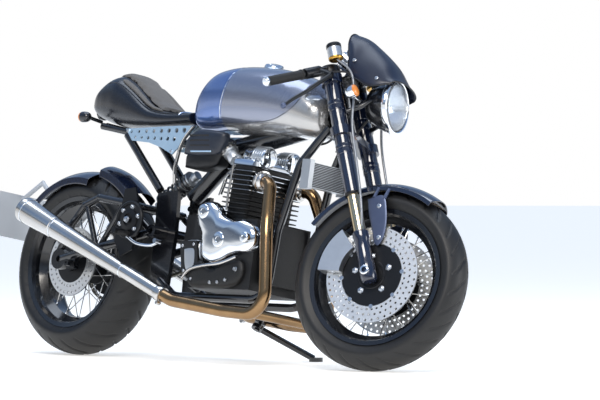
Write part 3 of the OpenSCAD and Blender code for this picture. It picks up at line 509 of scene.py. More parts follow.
nippleSide = np.where(np.arange(spokes["count"]) % 2 == 0, 1, -1)
makePiece("frontNipples", onFrontWheel, [ringOfParts(nipple, spokes["nippleRadius"], spokeTurn,
    nippleSide * spokes["frontSide"])], chrome, "front_wheel")
makePiece("rearNipples", onRearWheel, [ringOfParts(nipple, spokes["nippleRadius"], spokeTurn,
    nippleSide * spokes["rearSide"])], chrome, "rear_wheel")
carrierTurn = np.arange(5) * 2 * np.pi / 5 + 0.5
carrierSpots = np.stack([62 * np.cos(carrierTurn), 75 + 0 * carrierTurn, 62 * np.sin(carrierTurn)], -1)
makePiece("carrierScrews", onFrontWheel, bothSides([bolts(carrierSpots, (0, 1, 0), 14, 6)]), zinc,
    "front_wheel")
makePiece("hubSteps", onFrontWheel,
    bothSides([turned([(18.5, 74.5), (46, 74.5), (48, 76), (46, 78), (40, 78), (38, 75.5), (18.5, 75.5)],
    (0, 0, 0), (0, 1, 0), 56)]), blackAnodised, "front_wheel")
print("wheels dressed")

# fork legs: feet, slides, seals, collars, caps
legs = dict(y=105, radius=27, slide=21.5, low=590, high=1047)
legAxis = (0, 0, 1)
legPlaces = [np.array([axleAhead, s * legs["y"], 0]) for s in (-1, 1)]
casting = [(0, -34), (19, -34), (24, -30), (27, -20), (27, 26), (25, 34), (24, 104), (26.5, 112), (27, 138),
    (24, 142), (0, 142)]
slide = [(0, 138), (legs["slide"], 138), (legs["slide"], legs["low"] - axleUp + 2),
    (0, legs["low"] - axleUp + 2)]
makePiece("forkFeet", onFork, [turned(casting, p + [0, 0, axleUp], legAxis, 64) for p in legPlaces],
    navyPaint, "fork", ("fork_sliders",), bevel=0.8)
makePiece("forkSlides", onFork, [turned(slide, p + [0, 0, axleUp], legAxis, 64) for p in legPlaces],
    champagne, "fork")
seal = [(22, -6), (26.5, -6), (28, -4), (28, 3), (26.6, 4), (26.6, 9), (22, 9)]
makePiece("forkSeals", onFork,
    [turned(seal, p + [0, 0, z], legAxis, 64) for p in legPlaces for z in (legs["low"],)], blackAnodised,
    "fork")
collar = [(27, -18), (28.6, -17), (28.6, -2), (27.6, 0), (27.6, 3), (28.6, 4), (28.6, 16), (27, 18)]
makePiece("forkCollars", onFork,
    [turned(collar, p + [0, 0, z], legAxis, 64) for p in legPlaces for z in (748, 905)], navyPaint, "fork")
cap = [(0, 8), (9, 8), (10, 7), (10, 3), (19, 2.5), (24, 1), (26.6, -3), (26.6, -10)]
makePiece("forkCaps", onFork, [turned(cap[::-1], p + [0, 0, legs["high"]], legAxis, 48) for p in legPlaces],
    blackAnodised, "fork")
nut = turned([(8.6, -9), (13, -9), (15.5, -7), (15.5, 5), (14, 8), (8.6, 8)], (0, 0, 0), (0, 1, 0), 24)
makePiece("axleNuts", onFork, [copies(nut, [[axleAhead, s * 128, axleUp] for s in (-1, 1)])], chrome,
    "fork")

# mudguards and their stays
guards = dict(front=(324, 136, 38, 60, 150), rear=(322, 198, 58, 78, 137), inner=(355, 124, 48, 46, 79))


def archShell(radius, width, drop, start, stop, shift=(0, 0, 0), rows=96):
    # an arc across the wheel with straight skirts, run round the axle; both ends are tucked by a rounding
    half, crown = width / 2, width * 0.8
    spread = math.asin(half / crown) * np.linspace(-1, 1, 31)
    y, r = crown * np.sin(spread), radius - crown + crown * np.cos(spread)
    skirt = np.linspace(0, 1, 6)[1:] * (r[-1] - radius + drop)
    y = np.concatenate([-half + 0 * skirt, y, half + 0 * skirt])
    r = np.concatenate([r[0] - skirt[::-1], r, r[0] - skirt])
    angle = np.radians(np.linspace(start, stop, rows))[:, None]
    points = np.stack([shift[0] + r * np.cos(angle), y + 0 * angle, shift[2] + r * np.sin(angle)], -1)
    return surface(points, wrapCols=False)


makePiece("frontGuardShell", onFrontWheel, [archShell(*guards["front"])], navyPaint, "fork",
    ("front_mudguard",), thick=2.5, bevel=0.8)
makePiece("rearGuardShell", onRearWheel, [archShell(*guards["rear"], shift=(-12, 0, 7)),
    archShell(*guards["inner"])], navyPaint, "frame", ("rear_mudguard",), thick=2.5,
    bevel=0.8)
stayPlan = [[-66, 245], [-13, 262], [13, 199], [19, 142], [9, 100], [-10, 104], [-30, 150], [-52, 200]]
stay = pillow(stayPlan, 84, 4, 1, 8, 0.2, (-20, 190), 72, 2.4)
struts = [tube([(x, 66, 290), (x, 76, 272), (x, 86, 252)], 6, 14, near=(1, 0, 0)) for x in (-45, -8)]
makePiece("guardStays", onFrontWheel, bothSides([stay] + struts), slate, "fork", sharp=50)
makePiece("stayScrews", onFrontWheel, bothSides([bolts([(-20, 88, 226), (2, 88, 122)], (0, 1, 0), 11, 6)]),
    zinc, "fork")
print("fork and guards shaped")

# tank: one lofted shell in silver paint, with painted sky and floor reflections in its colour
tank = dict(start=516, length=614, floor=758, width=272, height=246, squareness=2.5, stemGap=43,
    yokeBack=48, yokeLow=979, creaseAt=700, creaseLean=0.25, creaseHigh=880, stations=[[0, 0.44, 34, 0.42],
    [0.016, 0.58, 28, 0.58], [0.055, 0.70, 24, 0.77], [0.13, 0.80, 22, 0.92], [0.23, 0.88, 22, 0.98],
    [0.355, 0.95, 17, 1.0], [0.51, 0.99, 12, 0.985], [0.655, 1.0, 8, 0.94], [0.785, 0.96, 4, 0.85],
    [0.88, 0.86, 0, 0.73], [0.945, 0.74, 0, 0.60], [0.985, 0.60, 6, 0.48], [1, 0.44, 16, 0.38]])


def superRings(stations, squareness, rows, cols, tuck=5):
    # each ring is |y/w|^e + |z/h|^e = 1 between its low and high; end rings shrink in quarter circles to a
    # point
    s = curveThrough(stations, rows)
    turn = np.linspace(0, 2 * np.pi, cols, endpoint=False)
    c, n = np.cos(turn), np.sin(turn)
    y = s[:, 1, None] * np.sign(c) * np.abs(c) ** (2 / squareness)
    low, high = s[:, 2, None], s[:, 3, None]
    z = (low + high) / 2 + (high - low) / 2 * np.sign(n) * np.abs(n) ** (2 / squareness)
    x = s[:, 0, None] + 0 * y
    points = np.stack([x, y, z], -1)
    k = np.linspace(0, 1, tuck + 1)[1:, None, None]
    first, last = points[0], points[-1]
    head = first.mean(0) + (first - first.mean(0)) * np.sqrt(1 - k**2)
    tail = last.mean(0) + (last - last.mean(0)) * np.sqrt(1 - k**2)
    head[..., 0] -= 3 * k[..., 0]
    tail[..., 0] += 3 * k[..., 0]
    return np.concatenate([head[::-1], points, tail])


def creaseX(z):
    # the crease leans: its length grows with height
    return tank["creaseAt"] + tank["creaseLean"] * (z - tank["creaseHigh"])


def tankPoints(grow=0, rows=150, cols=112):
    t = np.array(tank["stations"])
    stations = np.stack([tank["start"] + tank["length"] * t[:, 0], (tank["width"] / 2 + grow) * t[:, 1],
                         tank["floor"] + t[:, 2] - grow, tank["floor"] + tank["height"] * t[:, 3] + grow], -1)
    p = superRings(stations, tank["squareness"], rows, cols)
    # a fine step runs up the side a third of the way along
    crease = p[..., 0] - creaseX(p[..., 2])
    side = np.clip((p[..., 2] - 800) / 30, 0, 1)
    p[..., 1] -= np.sign(p[..., 1]) * 2.2 * np.exp(-((crease / 3.2) ** 2)) * side
    # the nose is hollowed round the steering head
    stemX = stemAtGround - p[..., 2] * sinRake / cosRake
    gap = np.sqrt(np.clip(tank["stemGap"] ** 2 - p[..., 1] ** 2, 0, None)) / cosRake
    limit = np.where(np.abs(p[..., 1]) < tank["stemGap"], stemX - gap, 1e6)
    p[..., 0] = np.minimum(p[..., 0], limit)
    # and stepped down clear of the turning top yoke
    along = (p[..., 0] - stemAtGround) * cosRake + p[..., 2] * sinRake + tank["yokeBack"]
    rise = p[..., 2] * cosRake - (p[..., 0] - stemAtGround) * sinRake - tank["yokeLow"]
    inside = (along > 0) & (rise > 0)
    back, drop = np.where(inside & (along < rise), along, 0), np.where(inside & (along >= rise), rise, 0)
    p[..., 0] -= back * cosRake - drop * sinRake
    p[..., 2] -= back * sinRake + drop * cosRake
    return p


tankShell = makePiece("tankShell", onBike, [surface(tankPoints())], tankPaintAndReflections, "frame",
    ("fuel_tank",), sharp=55)


def onTank(x, z, lift=0.6):
    # side of the tank at a length and a height: the superellipse solved for its half width
    t = np.array(tank["stations"])
    x, z = np.asarray(x, float), np.asarray(z, float)
    s = (x - tank["start"]) / tank["length"]
    w = np.interp(s, t[:, 0], t[:, 1]) * tank["width"] / 2
    low, high = tank["floor"] + np.interp(s, t[:, 0],
        t[:, 2]), tank["floor"] + tank["height"] * np.interp(s, t[:, 0], t[:, 3])
    u = np.clip(np.abs((z - (low + high) / 2) / ((high - low) / 2)), 0, 1)
    return np.stack([x, -(w * (1 - u ** tank["squareness"]) ** (1 / tank["squareness"]) + lift), z], -1)


pinPlan = curveThrough([(640, 800), (740, 799), (860, 800), (950, 808), (1010, 828), (1046, 856),
    (1062, 882)], 90)
pinLine = tube(onTank(pinPlan[:, 0], pinPlan[:, 1], 0.2), 1.3, 8)
spots = np.empty(len(tankShell.data.vertices) * 3, np.float32)
tankShell.data.vertices.foreach_get("co", spots)
spots = (spots.reshape(-1, 3) - rearAxle) @ bikeAxes.T * 1000 + onBike[2]
# behind the crease the colour is a painted reflection of blue sky, ahead of it the silver paint
outsideSkyReflection = np.clip((spots[:, :1] - creaseX(spots[:, 2:])) / 5 + 0.5, 0, 1)
# below the pinstripe on the front part the colour is a painted reflection of the pale floor
under = np.clip((np.interp(spots[:, :1], pinPlan[:, 0], pinPlan[:, 1], left=700,
    right=900) - spots[:, 2:]) / 5, 0, 1) * outsideSkyReflection
# the tones: painted blue sky reflection, silver paint, painted pale floor reflection
paintAndReflectionTones = [np.array(fromHex(code)) for code in ("#5472ad", "#848a9c", "#b2b1b0")]
paintAndReflections = (paintAndReflectionTones[0] * (1 - outsideSkyReflection) + paintAndReflectionTones[1] * outsideSkyReflection) * (1 - under) + paintAndReflectionTones[2] * under
layer = tankShell.data.color_attributes.new("paintAndReflections", "FLOAT_COLOR", "POINT")
layer.data.foreach_set("color", paintAndReflections.astype(np.float32).ravel())
makePiece("tankPinstripe", onBike, bothSides([pinLine]), blackPaint, "frame")
# a bright polished tube along the crease: a painted highlight of its edge
creaseZ = np.linspace(812, 972, 50)
creaseHighlightLine = tube(onTank(creaseX(creaseZ) - 5, creaseZ, 0.2), 1.2, 8, near=(1, 0, 0))
makePiece("tankCreaseHighlight", onBike, bothSides([creaseHighlightLine]), polishedAlloy, "frame")
fillCap = turned([(0, 16), (24, 16), (30, 14), (33, 9), (34, 3), (38, 2), (40, 0), (40, -10)][::-1],
    (800, 0, 1000), (0, 0, 1), 64)
makePiece("fillerCap", onBike, [fillCap], polishedAlloy, "frame")
print("tank painted")

# seat: hide shell, suede pads, piping, strap
seat = dict(width=232, pad=14, squareness=2.9, stations=[[-22, 0.34, 866, 894], [-8, 0.58, 845, 914],
    [22, 0.79, 826, 944], [62, 0.90, 812, 972], [100, 0.96, 803, 987], [135, 1.0, 796, 988],
    [170, 1.0, 791, 974], [215, 1.0, 788, 945], [255, 0.99, 787, 915], [290, 0.98, 787, 889],
    [325, 0.97, 787, 871], [380, 0.93, 789, 859], [440, 0.84, 794, 856], [506, 0.74, 800, 860]])
seatStations = np.array(seat["stations"]) * [1, seat["width"] / 2, 1, 1] - [0, 0, 0, seat["pad"]]
makePiece("seatShell", onBike, [surface(superRings(seatStations, seat["squareness"], 130, 88))], leather,
    "frame", ("seat_base",), sharp=60)


def seatTop(x, share):
    # height of the seat shell at a length and a share of its half width
    x, share = np.broadcast_arrays(np.asarray(x, float), np.asarray(share, float))
    w, low, high = [np.interp(x, seatStations[:, 0], seatStations[:, k]) for k in (1, 2, 3)]
    dome = (1 - np.abs(share) ** seat["squareness"]) ** (1 / seat["squareness"])
    return np.stack([x, w * share, (low + high) / 2 + (high - low) / 2 * dome], -1)


def padSolid(x0, x1, share, rise, rows=40, cols=25):
    # a grid on the seat lifted by a rise that falls to nothing at its border in a fourth-power curve
    x, s = np.meshgrid(np.linspace(x0, x1, rows), np.linspace(-1, 1, cols), indexing="ij")
    u = 2 * (x - x0) / (x1 - x0) - 1
    base = seatTop(x, s * share)
    lift = rise * ((1 - u**6) * (1 - s**6)) ** 0.35
    top, under = base + np.stack([0 * x, 0 * x, 1 + lift], -1), base + np.array([0, 0, 0.6])
    return surface(np.stack([top, under], 0)[0], wrapCols=False), surface(under[:, ::-1], wrapCols=False)


def softPad(name, parts, finish, replaces, cap):
    # the shape is remeshed and blown up a little by cloth, then held within a cap of where it began
    piece = makePiece(name, onBike, parts, finish, "frame", replaces, sharp=80)
    for each in bpy.context.view_layer.objects:
        each.select_set(False)
    piece.select_set(True)
    bpy.context.view_layer.objects.active = piece
    piece.data.remesh_voxel_size = 0.005
    bpy.ops.object.voxel_remesh()
    start = np.empty(len(piece.data.vertices) * 3, np.float32)
    piece.data.vertices.foreach_get("co", start)
    start = start.reshape(-1, 3)
    cloth = piece.modifiers.new("cloth", "CLOTH")
    cloth.settings.use_pressure, cloth.settings.uniform_pressure_force = True, 4
    cloth.settings.effector_weights.gravity = 0
    scene = bpy.context.scene
    for moment in range(1, 21):
        scene.frame_set(moment)
    swollen = piece.evaluated_get(bpy.context.evaluated_depsgraph_get()).data
    end = np.empty(len(start) * 3, np.float32)
    swollen.vertices.foreach_get("co", end)
    move = end.reshape(-1, 3) - start
    far = np.linalg.norm(move, axis=1, keepdims=True)
    end = start + move * np.minimum(1, cap / 1000 / np.maximum(far, 1e-9))
    piece.modifiers.remove(cloth)
    piece.data.vertices.foreach_set("co", end.astype(np.float32).ravel())
    piece.data.update()
    scene.frame_set(1)
    addModifier(piece, "SUBSURF", levels=1, render_levels=1)
    piece.data.shade_smooth()
    return piece


softPad("seatCushion", padSolid(96, 350, 0.56, seat["pad"] - 4), suede, ("seat_pad",), 5)
seam = seatTop(np.linspace(88, 455, 90), 0.9)
makePiece("seatPiping", onBike, bothSides([tube(seam + [0, 0, 1], 2.2, 8)]), leather, "frame")
crescent = []
for side in (1, -1):
    x, s = np.meshgrid(np.linspace(150, 370, 40), np.linspace(-1, 1, 15), indexing="ij")
    bow = 0.72 + 0.05 * ((x - 260) / 110) ** 2
    u = (x - 260) / 110
    base = seatTop(x, side * (bow + 0.085 * s * np.sqrt(np.clip(1 - u**4, 0, 1))))
    lift = 10 * ((1 - u**6) * (1 - s**6)) ** 0.35
    crescent += [surface(base + np.stack([0 * x, side * lift * 0.6, 1 + lift * 0.7], -1), wrapCols=False),
        surface((base + [0, 0, 0.6])[:, ::-1], wrapCols=False)]
sidePads = makePiece("seatSidePads", onBike, crescent, suede, "frame", sharp=80)
across = np.linspace(-0.995, 0.995, 60)
makePiece("seatStrap", onBike, [tube(seatTop(462, across) + [0, 0, 2], 3.2, 8, near=(1, 0, 0))],
    polishedAlloy, "frame")
print("seat padded")

# engine: barrels, rocker bulbs, cast cases
engine = dict(barrelX=818, barrelZ=478, cant=math.radians(4), headHigh=176, fins=10, barrelHalf=124,
    caseSide=126, bulbY=58, bulbUp=213.5)


def canted(part):
    # tips a part forward with the barrels: a turn about the crank line, then out to the barrel foot
    p, f = part
    c, s = math.cos(engine["cant"]), math.sin(engine["cant"])
    return np.stack([engine["barrelX"] + p[:, 0] * c + p[:, 2] * s, p[:, 1],
        engine["barrelZ"] - p[:, 0] * s + p[:, 2] * c], -1), f


def roundedStack(rows, corner=12, steps=6):
    # rounded rectangles stacked by height: each row is half length, half width and height
    rows = np.asarray(rows, float)
    turn = np.linspace(0, np.pi / 2, steps)
    quarter = np.stack([np.cos(turn), np.sin(turn)], -1)
    sign = np.array([[1, 1], [-1, 1], [-1, -1], [1, -1]], float)
    flip = np.array([1, -1, 1, -1])
    arcs = np.stack([(quarter if f > 0 else quarter[::-1]) * s for s, f in zip(sign, flip)])
    half = rows[:, None, None, :2]
    r = np.minimum(corner, half.min(-1, keepdims=True) * 0.95)
    xy = sign[None, :, None] * (half - r) + arcs[None] * r
    z = np.broadcast_to(rows[:, None, None, 2:], xy.shape[:3] + (1,))
    return surface(np.concatenate([xy, z], -1).reshape(len(rows), -1, 3))


finLow = 14 + np.arange(engine["fins"]) * (engine["headHigh"] - 18) / engine["fins"]
core, fin = (51, 105), (66, engine["barrelHalf"])
rows = [(0.5, 0.5, 0), (*core, 0)]
for low in finLow:
    rows += [(*core, low - 0.5), (fin[0] - 0.8, fin[1] - 0.8, low + 0.6), (*fin, low + 1.4),
        (*fin, low + 3.6), (fin[0] - 0.8, fin[1] - 0.8, low + 4.4), (*core, low + 5.5)]
rows += [(*core, engine["headHigh"]), (0.5, 0.5, engine["headHigh"])]
makePiece("finnedBarrels", onBike, [canted(roundedStack(rows, 14))], crinkle, "frame",
    ("cylinders",), sharp=30)
edges = [roundedStack([(fin[0] - 1, fin[1] - 1, z + 1.2), (fin[0] + 0.3, fin[1] + 0.3, z + 1.5),
    (fin[0] + 0.3, fin[1] + 0.3, z + 3.5), (fin[0] - 1, fin[1] - 1, z + 3.8)], 14) for z in finLow[5:]]
makePiece("machinedFinEdges", onBike, [canted(e) for e in edges], polishedAlloy, "frame")
port = [turned([(0, 0), (29, 0), (31, 3), (31, 10), (24, 12), (24, 34), (0, 34)], (40, s * 88, 126),
    (math.sin(math.radians(84)), 0, math.cos(math.radians(84))), 40) for s in (-1, 1)]
makePiece("exhaustPorts", onBike, [canted(p) for p in port], crinkle, "frame")
lobe = [(0, -40), (22, -39), (28, -34), (30, -26), (30, -4), (33, 0), (36, 4), (36, 58), (34, 66), (26, 71),
    (0, 72)]
lobes = [turned(lobe, (0, s * engine["bulbY"], engine["bulbUp"]), (1, 0, 0), 64) for s in (-1, 1)]
base = roundedStack([(1, 1, 177), (60, 108, 177), (62, 110, 179), (62, 110, 194), (58, 106, 199),
    (1, 1, 199)], 20)
makePiece("rockerBulbs", onBike, [canted(p) for p in lobes + [base]], polishedAlloy, "frame",
    ("rocker_cover",), sharp=40)
rib = turned([(34, -1.6), (38.5, -1.4), (38.5, 1.4), (34, 1.6)], (0, 0, 0), (1, 0, 0), 48)
makePiece("rockerRibs", onBike,
    [canted(copies(rib,
    [[x, s * engine["bulbY"], engine["bulbUp"]] for s in (-1, 1) for x in (18, 28, 38, 48, 58)]))],
    castAlloy, "frame")
makePiece("coverScrews", onBike,
    [canted(bolts([[x, s * y, 199] for s in (-1, 1) for x, y in ((-48, 98), (50, 98), (-48, 14), (50, 14))],
    (0, 0, 1), 11))], zinc, "frame")

timing = [[680, 483], [691, 507], [712, 523], [746, 525], [778, 508], [807, 481], [868, 465], [916, 464],
    [944, 453], [962, 438], [972, 416], [972, 390], [962, 372], [940, 357], [900, 351], [863, 341],
    [828, 324], [791, 313], [761, 319], [733, 335], [721, 372], [714, 413], [692, 450]]


def cover(outline, y0, high, out, round_, centre, lip):
    # a case lid: a pillow with a fine grid
    return pillow(outline, y0, high, out, 18, round_, centre, 128, lip)


makePiece("timingCase", onBike, [cover(timing, -engine["caseSide"], 44, -1, 0.42, (800, 412), 12)],
    polishedAlloy, "frame", ("timing_cover",), sharp=50)


def boss(x, z, r, high):
    # a turned cap standing on the case, dished in the middle
    return turned([(0, 0), (r + 2, 0), (r + 2, high - 6), (r, high - 2), (r - 3, high), (r * 0.4, high),
        (r * 0.36, high - 1.5), (0, high - 1.5)], (x, -engine["caseSide"], z), (0, -1, 0), 48)


makePiece("timingBosses", onBike, [boss(730, 488, 24, 47), boss(940, 404, 17, 47), boss(820, 394, 26, 47)],
    polishedAlloy, "frame")
rim = np.array(timing, float)
middle = np.array([800, 412.0])
rimBolts = middle + (rim[[0, 2, 4, 7, 9, 12, 14, 16, 18, 20, 21]] - middle) * 0.9
makePiece("timingScrews", onBike,
    [bolts(np.stack([rimBolts[:, 0], -137 + 0 * rimBolts[:, 0], rimBolts[:, 1]], -1), (0, -1, 0), 10, 12)],
    zinc, "frame")
low = [[632, 300], [660, 332], [716, 330], [752, 308], [790, 300], [838, 312], [880, 334], [912, 326],
    [924, 290], [902, 254], [850, 238], [760, 236], [680, 240]]
makePiece("alternatorCase", onBike, [cover(low, -124, 30, -1, 0.5, (780, 275), 8)], crinkle, "frame",
    sharp=50)
makePiece("alternatorScrews", onBike,
    [bolts([[x, -148, z] for x, z in ((790, 252), (826, 254), (862, 262), (668, 262), (900, 300))],
    (0, -1, 0), 10, 10)], zinc, "frame")
hoseArc = tube(curveThrough([(648, -150, 262), (690, -160, 292), (760, -166, 306), (840, -166, 316),
    (905, -158, 340)], 60), 5.5, 16)
makePiece("oilPipe", onBike, [hoseArc], stainless, "frame")
flank = [[617, 389], [660, 396], [700, 391], [712, 350], [719, 300], [745, 284], [722, 262], [693, 249],
    [660, 262], [640, 290], [626, 340]]
makePiece("gearboxCasting", onBike, [cover(flank, -engine["caseSide"], 26, -1, 0.5, (675, 325), 6)],
    castAlloy, "frame", sharp=50)
makePiece("gearboxScrews", onBike,
    [bolts([[632, -146, 372], [686, -146, 378], [704, -146, 300], [652, -146, 288], [692, -146, 262]],
    (0, -1, 0), 10, 8)], zinc, "frame")
ringTurn = np.linspace(0, 2 * np.pi, 60, endpoint=False)
foreRing = np.stack([880 + 86 * np.cos(ringTurn), 360 + 86 * np.sin(ringTurn)], -1)
aftRing = np.stack([726 + 72 * np.cos(ringTurn), 372 + 72 * np.sin(ringTurn)], -1)
primary = np.concatenate([foreRing[np.cos(ringTurn) > -0.1], aftRing[np.cos(ringTurn) < 0.05]])
order = np.argsort(np.arctan2(primary[:, 1] - 366, primary[:, 0] - 803))
primary = primary[order][::3]
makePiece("primaryCase", onBike, [cover(primary, engine["caseSide"], 45, 1, 0.42, (803, 366), 12)],
    polishedAlloy, "frame", ("primary_cover",), sharp=50)
primaryBolts = np.array([803, 366.0]) + (primary[::3] - [803, 366]) * 0.92
makePiece("primaryScrews", onBike,
    [bolts(np.stack([primaryBolts[:, 0], 137 + 0 * primaryBolts[:, 0], primaryBolts[:, 1]], -1), (0, 1, 0),
    10, 10)], zinc, "frame")

intake = np.array([744, -66, 680.0]), np.array([686, -73, 723.0])
intakeRun = unit(intake[1] - intake[0])
body = turned([(0, 0), (22, 0), (24, 4), (24, 26), (30, 30), (31, 36), (31, 46), (27, 48), (27, 60),
    (30, 62), (31, 70), (24, 72), (18, 58), (0, 52)], intake[0], intakeRun, 56)
makePiece("throttleThroats", onBike, bothSides([body]), castAlloy, "frame",
    ("throttle_bodies",), sharp=40)
clampRing = turned([(31, -4), (33, -4), (33, 4), (31, 4)], intake[0] + intakeRun * 40, intakeRun, 48)
wheelArm = turned([(0, 0), (16, 0), (17, 3), (8, 4), (7, 9), (0, 9)],
    intake[0] + intakeRun * 40 + [0, -31, 0], (0, -1, 0), 32)
makePiece("throttleClips", onBike, bothSides([clampRing, wheelArm]), stainless, "frame")
rod = tube([(800, -132, 500), (800, -133, 560), (806, -132, 650)], 4, 12)
makePiece("pushTube", onBike, bothSides([rod]), stainless, "frame")
print("engine cast")

# exhaust: bronze headers into straight silencers; the bronze is heat tint and partly a painted reflection of
# brown ground
exhaust = dict(radius=21.5, silencerFrom=(600, -188, 200), silencerTo=(-128, -214, 474),
    corners=[(908, -88, 603), (962, -100, 596), (1013, -142, 450), (1068, -150, 150), (880, -158, 158),
    (650, -183, 182)], bends=[46, 300, 70, 300, 120])
silencerFrom, silencerTo = np.array(exhaust["silencerFrom"], float), np.array(exhaust["silencerTo"], float)
silencerRun = unit(silencerTo - silencerFrom)
silencerLong = float(np.linalg.norm(silencerTo - silencerFrom))


def bentLine(corners, radii, steps=14):
    # straight runs joined by arcs of the given radii, each touching both runs
    p = np.asarray(corners, float)
    line = [p[:1]]
    for a, b, c, r in zip(p[:-2], p[1:-1], p[2:], radii):
        u, v = unit(a - b), unit(c - b)
        h = math.acos(float(u @ v)) / 2
        m, w = unit(u + v), unit(v - u)
        q = np.linspace(-1, 1, steps)[:, None] * (np.pi / 2 - h)
        line.append(b + m * r / math.sin(h) + r * (w * np.sin(q) - m * np.cos(q)))
    return np.concatenate(line + [p[-1:]])


headerLine = bentLine(exhaust["corners"] + [tuple(silencerFrom - 2 * silencerRun)], exhaust["bends"])
makePiece("headerPipes", onBike, bothSides([tube(headerLine, exhaust["radius"], 48)]), bronzeHeatAndReflection, "frame",
    ("exhaust_pipes",), sharp=60)
makePiece("balancePipe", onBike, [tube([(985, -150, 158), (985, 0, 158), (985, 150, 158)], 16.5, 32,
    near=(0, 0, 1))], bronzeHeatAndReflection, "frame")
flangeRun = unit(headerLine[1] - headerLine[0])
flange = turned([(22, 0), (34, 0), (36, 2), (36, 5), (31, 6), (31, 8), (36, 9), (36, 12), (31, 13),
    (29, 20), (22.5, 24)], headerLine[0] - flangeRun * 2, flangeRun, 48)
makePiece("exhaustFlanges", onBike, bothSides([flange]), stainless, "frame")
clamp = turned([(22, -14), (26, -14), (27, -12), (27, 12), (26, 14), (22, 14)],
    silencerFrom + 6 * silencerRun, silencerRun, 48)
makePiece("silencerClamps", onBike,
    bothSides([clamp, bolts([silencerFrom + np.array([0, -4, -30])], (0, -1, 0), 12, 16)]), stainless,
    "frame")
long = silencerLong
silencerShape = [(21, -10), (24, -10), (24, 196), (24.6, 200), (26, 230), (36, 600), (38.5, 602),
    (39.2, 606), (38.8, 612), (44.5, long - 8), (45, long - 4), (43.5, long), (37, long), (35, long - 4),
    (33, long - 40), (0, long - 42)]
makePiece("silencerCans", onBike, bothSides([turned(silencerShape, silencerFrom, silencerRun, 72)]),
    stainless, "frame", ("silencers",), sharp=35)
seamRing = [turned([(r - 1, -2.2), (r + 0.9, -1.8), (r + 0.9, 1.8), (r - 1, 2.2)],
    silencerFrom + silencerRun * h, silencerRun, 64) for h, r in ((210, 24.9), (596, 36.0),
    (long - 24, 44.1))]
makePiece("silencerSeams", onBike, bothSides(seamRing), polishedAlloy, "frame")
print("exhaust run")

# shock and chain
coilFrom, coilTo = np.array([338, 0, 541.0]), np.array([482, 0, 628.0])
coilRun = unit(coilTo - coilFrom)
coilSide = np.cross(coilRun, (0, 1, 0))
w = np.linspace(0, 1, 260)[:, None]
coilTurn = w * 2 * np.pi * 7
coil = coilFrom + (coilTo - coilFrom) * (0.04 + 0.9 * w) + 27 * (np.cos(coilTurn) * np.array([0, 1,
    0]) + np.sin(coilTurn) * coilSide)
makePiece("shockSpring", onBike, [tube(coil, 4.6, 10, near=coilRun)], blackPaint, "frame")
damper = [(0, -26), (13, -26), (14, 0), (30, 1), (31, 5), (18, 8), (18, 80), (22, 84), (22, 150), (31, 152),
    (31, 158), (16, 162), (16, 186), (0, 186)]
makePiece("shockBody", onBike, [turned(damper, coilFrom, coilRun, 48)], castAlloy, "frame",
    ("shock",))
sprockets = dict(rear=(0, 315, 103), front=(520, 408, 48), y=101, pitch=15.9)
x0, z0, r0 = sprockets["rear"]
x1, z1, r1 = sprockets["front"]
gap = math.hypot(x1 - x0, z1 - z0)
tilt, opening = math.atan2(z1 - z0, x1 - x0), math.asin((r0 - r1) / gap)
rearTurn = np.linspace(np.pi / 2 - opening, 3 * np.pi / 2 + opening, 200) + tilt
frontTurn = np.linspace(-np.pi / 2 + opening, np.pi / 2 - opening, 100) + tilt
loop = np.concatenate([np.stack([x0 + r0 * np.cos(rearTurn), z0 + r0 * np.sin(rearTurn)], -1),
    np.stack([x1 + r1 * np.cos(frontTurn), z1 + r1 * np.sin(frontTurn)], -1)])
loop = np.concatenate([loop, loop[:1]])
travelled = np.concatenate([[0], np.cumsum(np.linalg.norm(np.diff(loop, axis=0), axis=1))])
links = int(travelled[-1] / sprockets["pitch"]) // 2 * 2
at = (np.arange(links) + 0.5) * travelled[-1] / links
linkX, linkZ = np.interp(at, travelled, loop[:, 0]), np.interp(at, travelled, loop[:, 1])
step = travelled[-1] / links * 0.5
dx = np.interp(at + step, travelled, loop[:, 0]) - np.interp(at - step, travelled, loop[:, 0])
dz = np.interp(at + step, travelled, loop[:, 1]) - np.interp(at - step, travelled, loop[:, 1])
linkTurn = np.arctan2(dz, dx)
plateTurn = np.linspace(0, 2 * np.pi, 20, endpoint=False)
figure = np.stack([11.5 * np.cos(plateTurn), (5.6 - 1.5 * np.sin(plateTurn) ** 6) * np.sin(plateTurn)], -1)


def linkPlate(y, thick):
    # a waisted oval plate between two faces
    rings = [np.stack([figure[:, 0] * k, y + h + 0 * figure[:, 0], figure[:, 1] * k], -1) for k,
        h in ((0.01, -thick / 2), (1, -thick / 2), (1, thick / 2), (0.01, thick / 2))]
    return surface(np.stack(rings))


def atLinks(part, which):
    # a part carried to the chosen links, turned along the chain
    p, f = part
    c, s = np.cos(linkTurn[which])[:, None], np.sin(linkTurn[which])[:, None]
    many = np.stack([linkX[which][:, None] + p[:, 0] * c - p[:, 2] * s, p[:, 1] + 0 * c,
        linkZ[which][:, None] + p[:, 0] * s + p[:, 2] * c], -1)
    return many.reshape(-1, 3), (f[None] + (np.arange(len(c)) * len(p))[:, None, None]).reshape(-1, 4)


even, odd = np.arange(0, links, 2), np.arange(1, links, 2)
roller = turned([(0, -5), (4.6, -5), (4.6, 5), (0, 5)], (0, 0, 0), (0, 1, 0), 10)
makePiece("driveChain", onBike, [atLinks(linkPlate(sprockets["y"] + s * 4.2, 1.5),
    even) for s in (-1, 1)] + [atLinks(linkPlate(sprockets["y"] + s * 5.9, 1.5), odd) for s in (-1, 1)]
          + [atLinks((roller[0] + [8, sprockets["y"], 0], roller[1]),
              np.arange(links))], chainSteel, "frame", ("chain",))
print("rear end built")

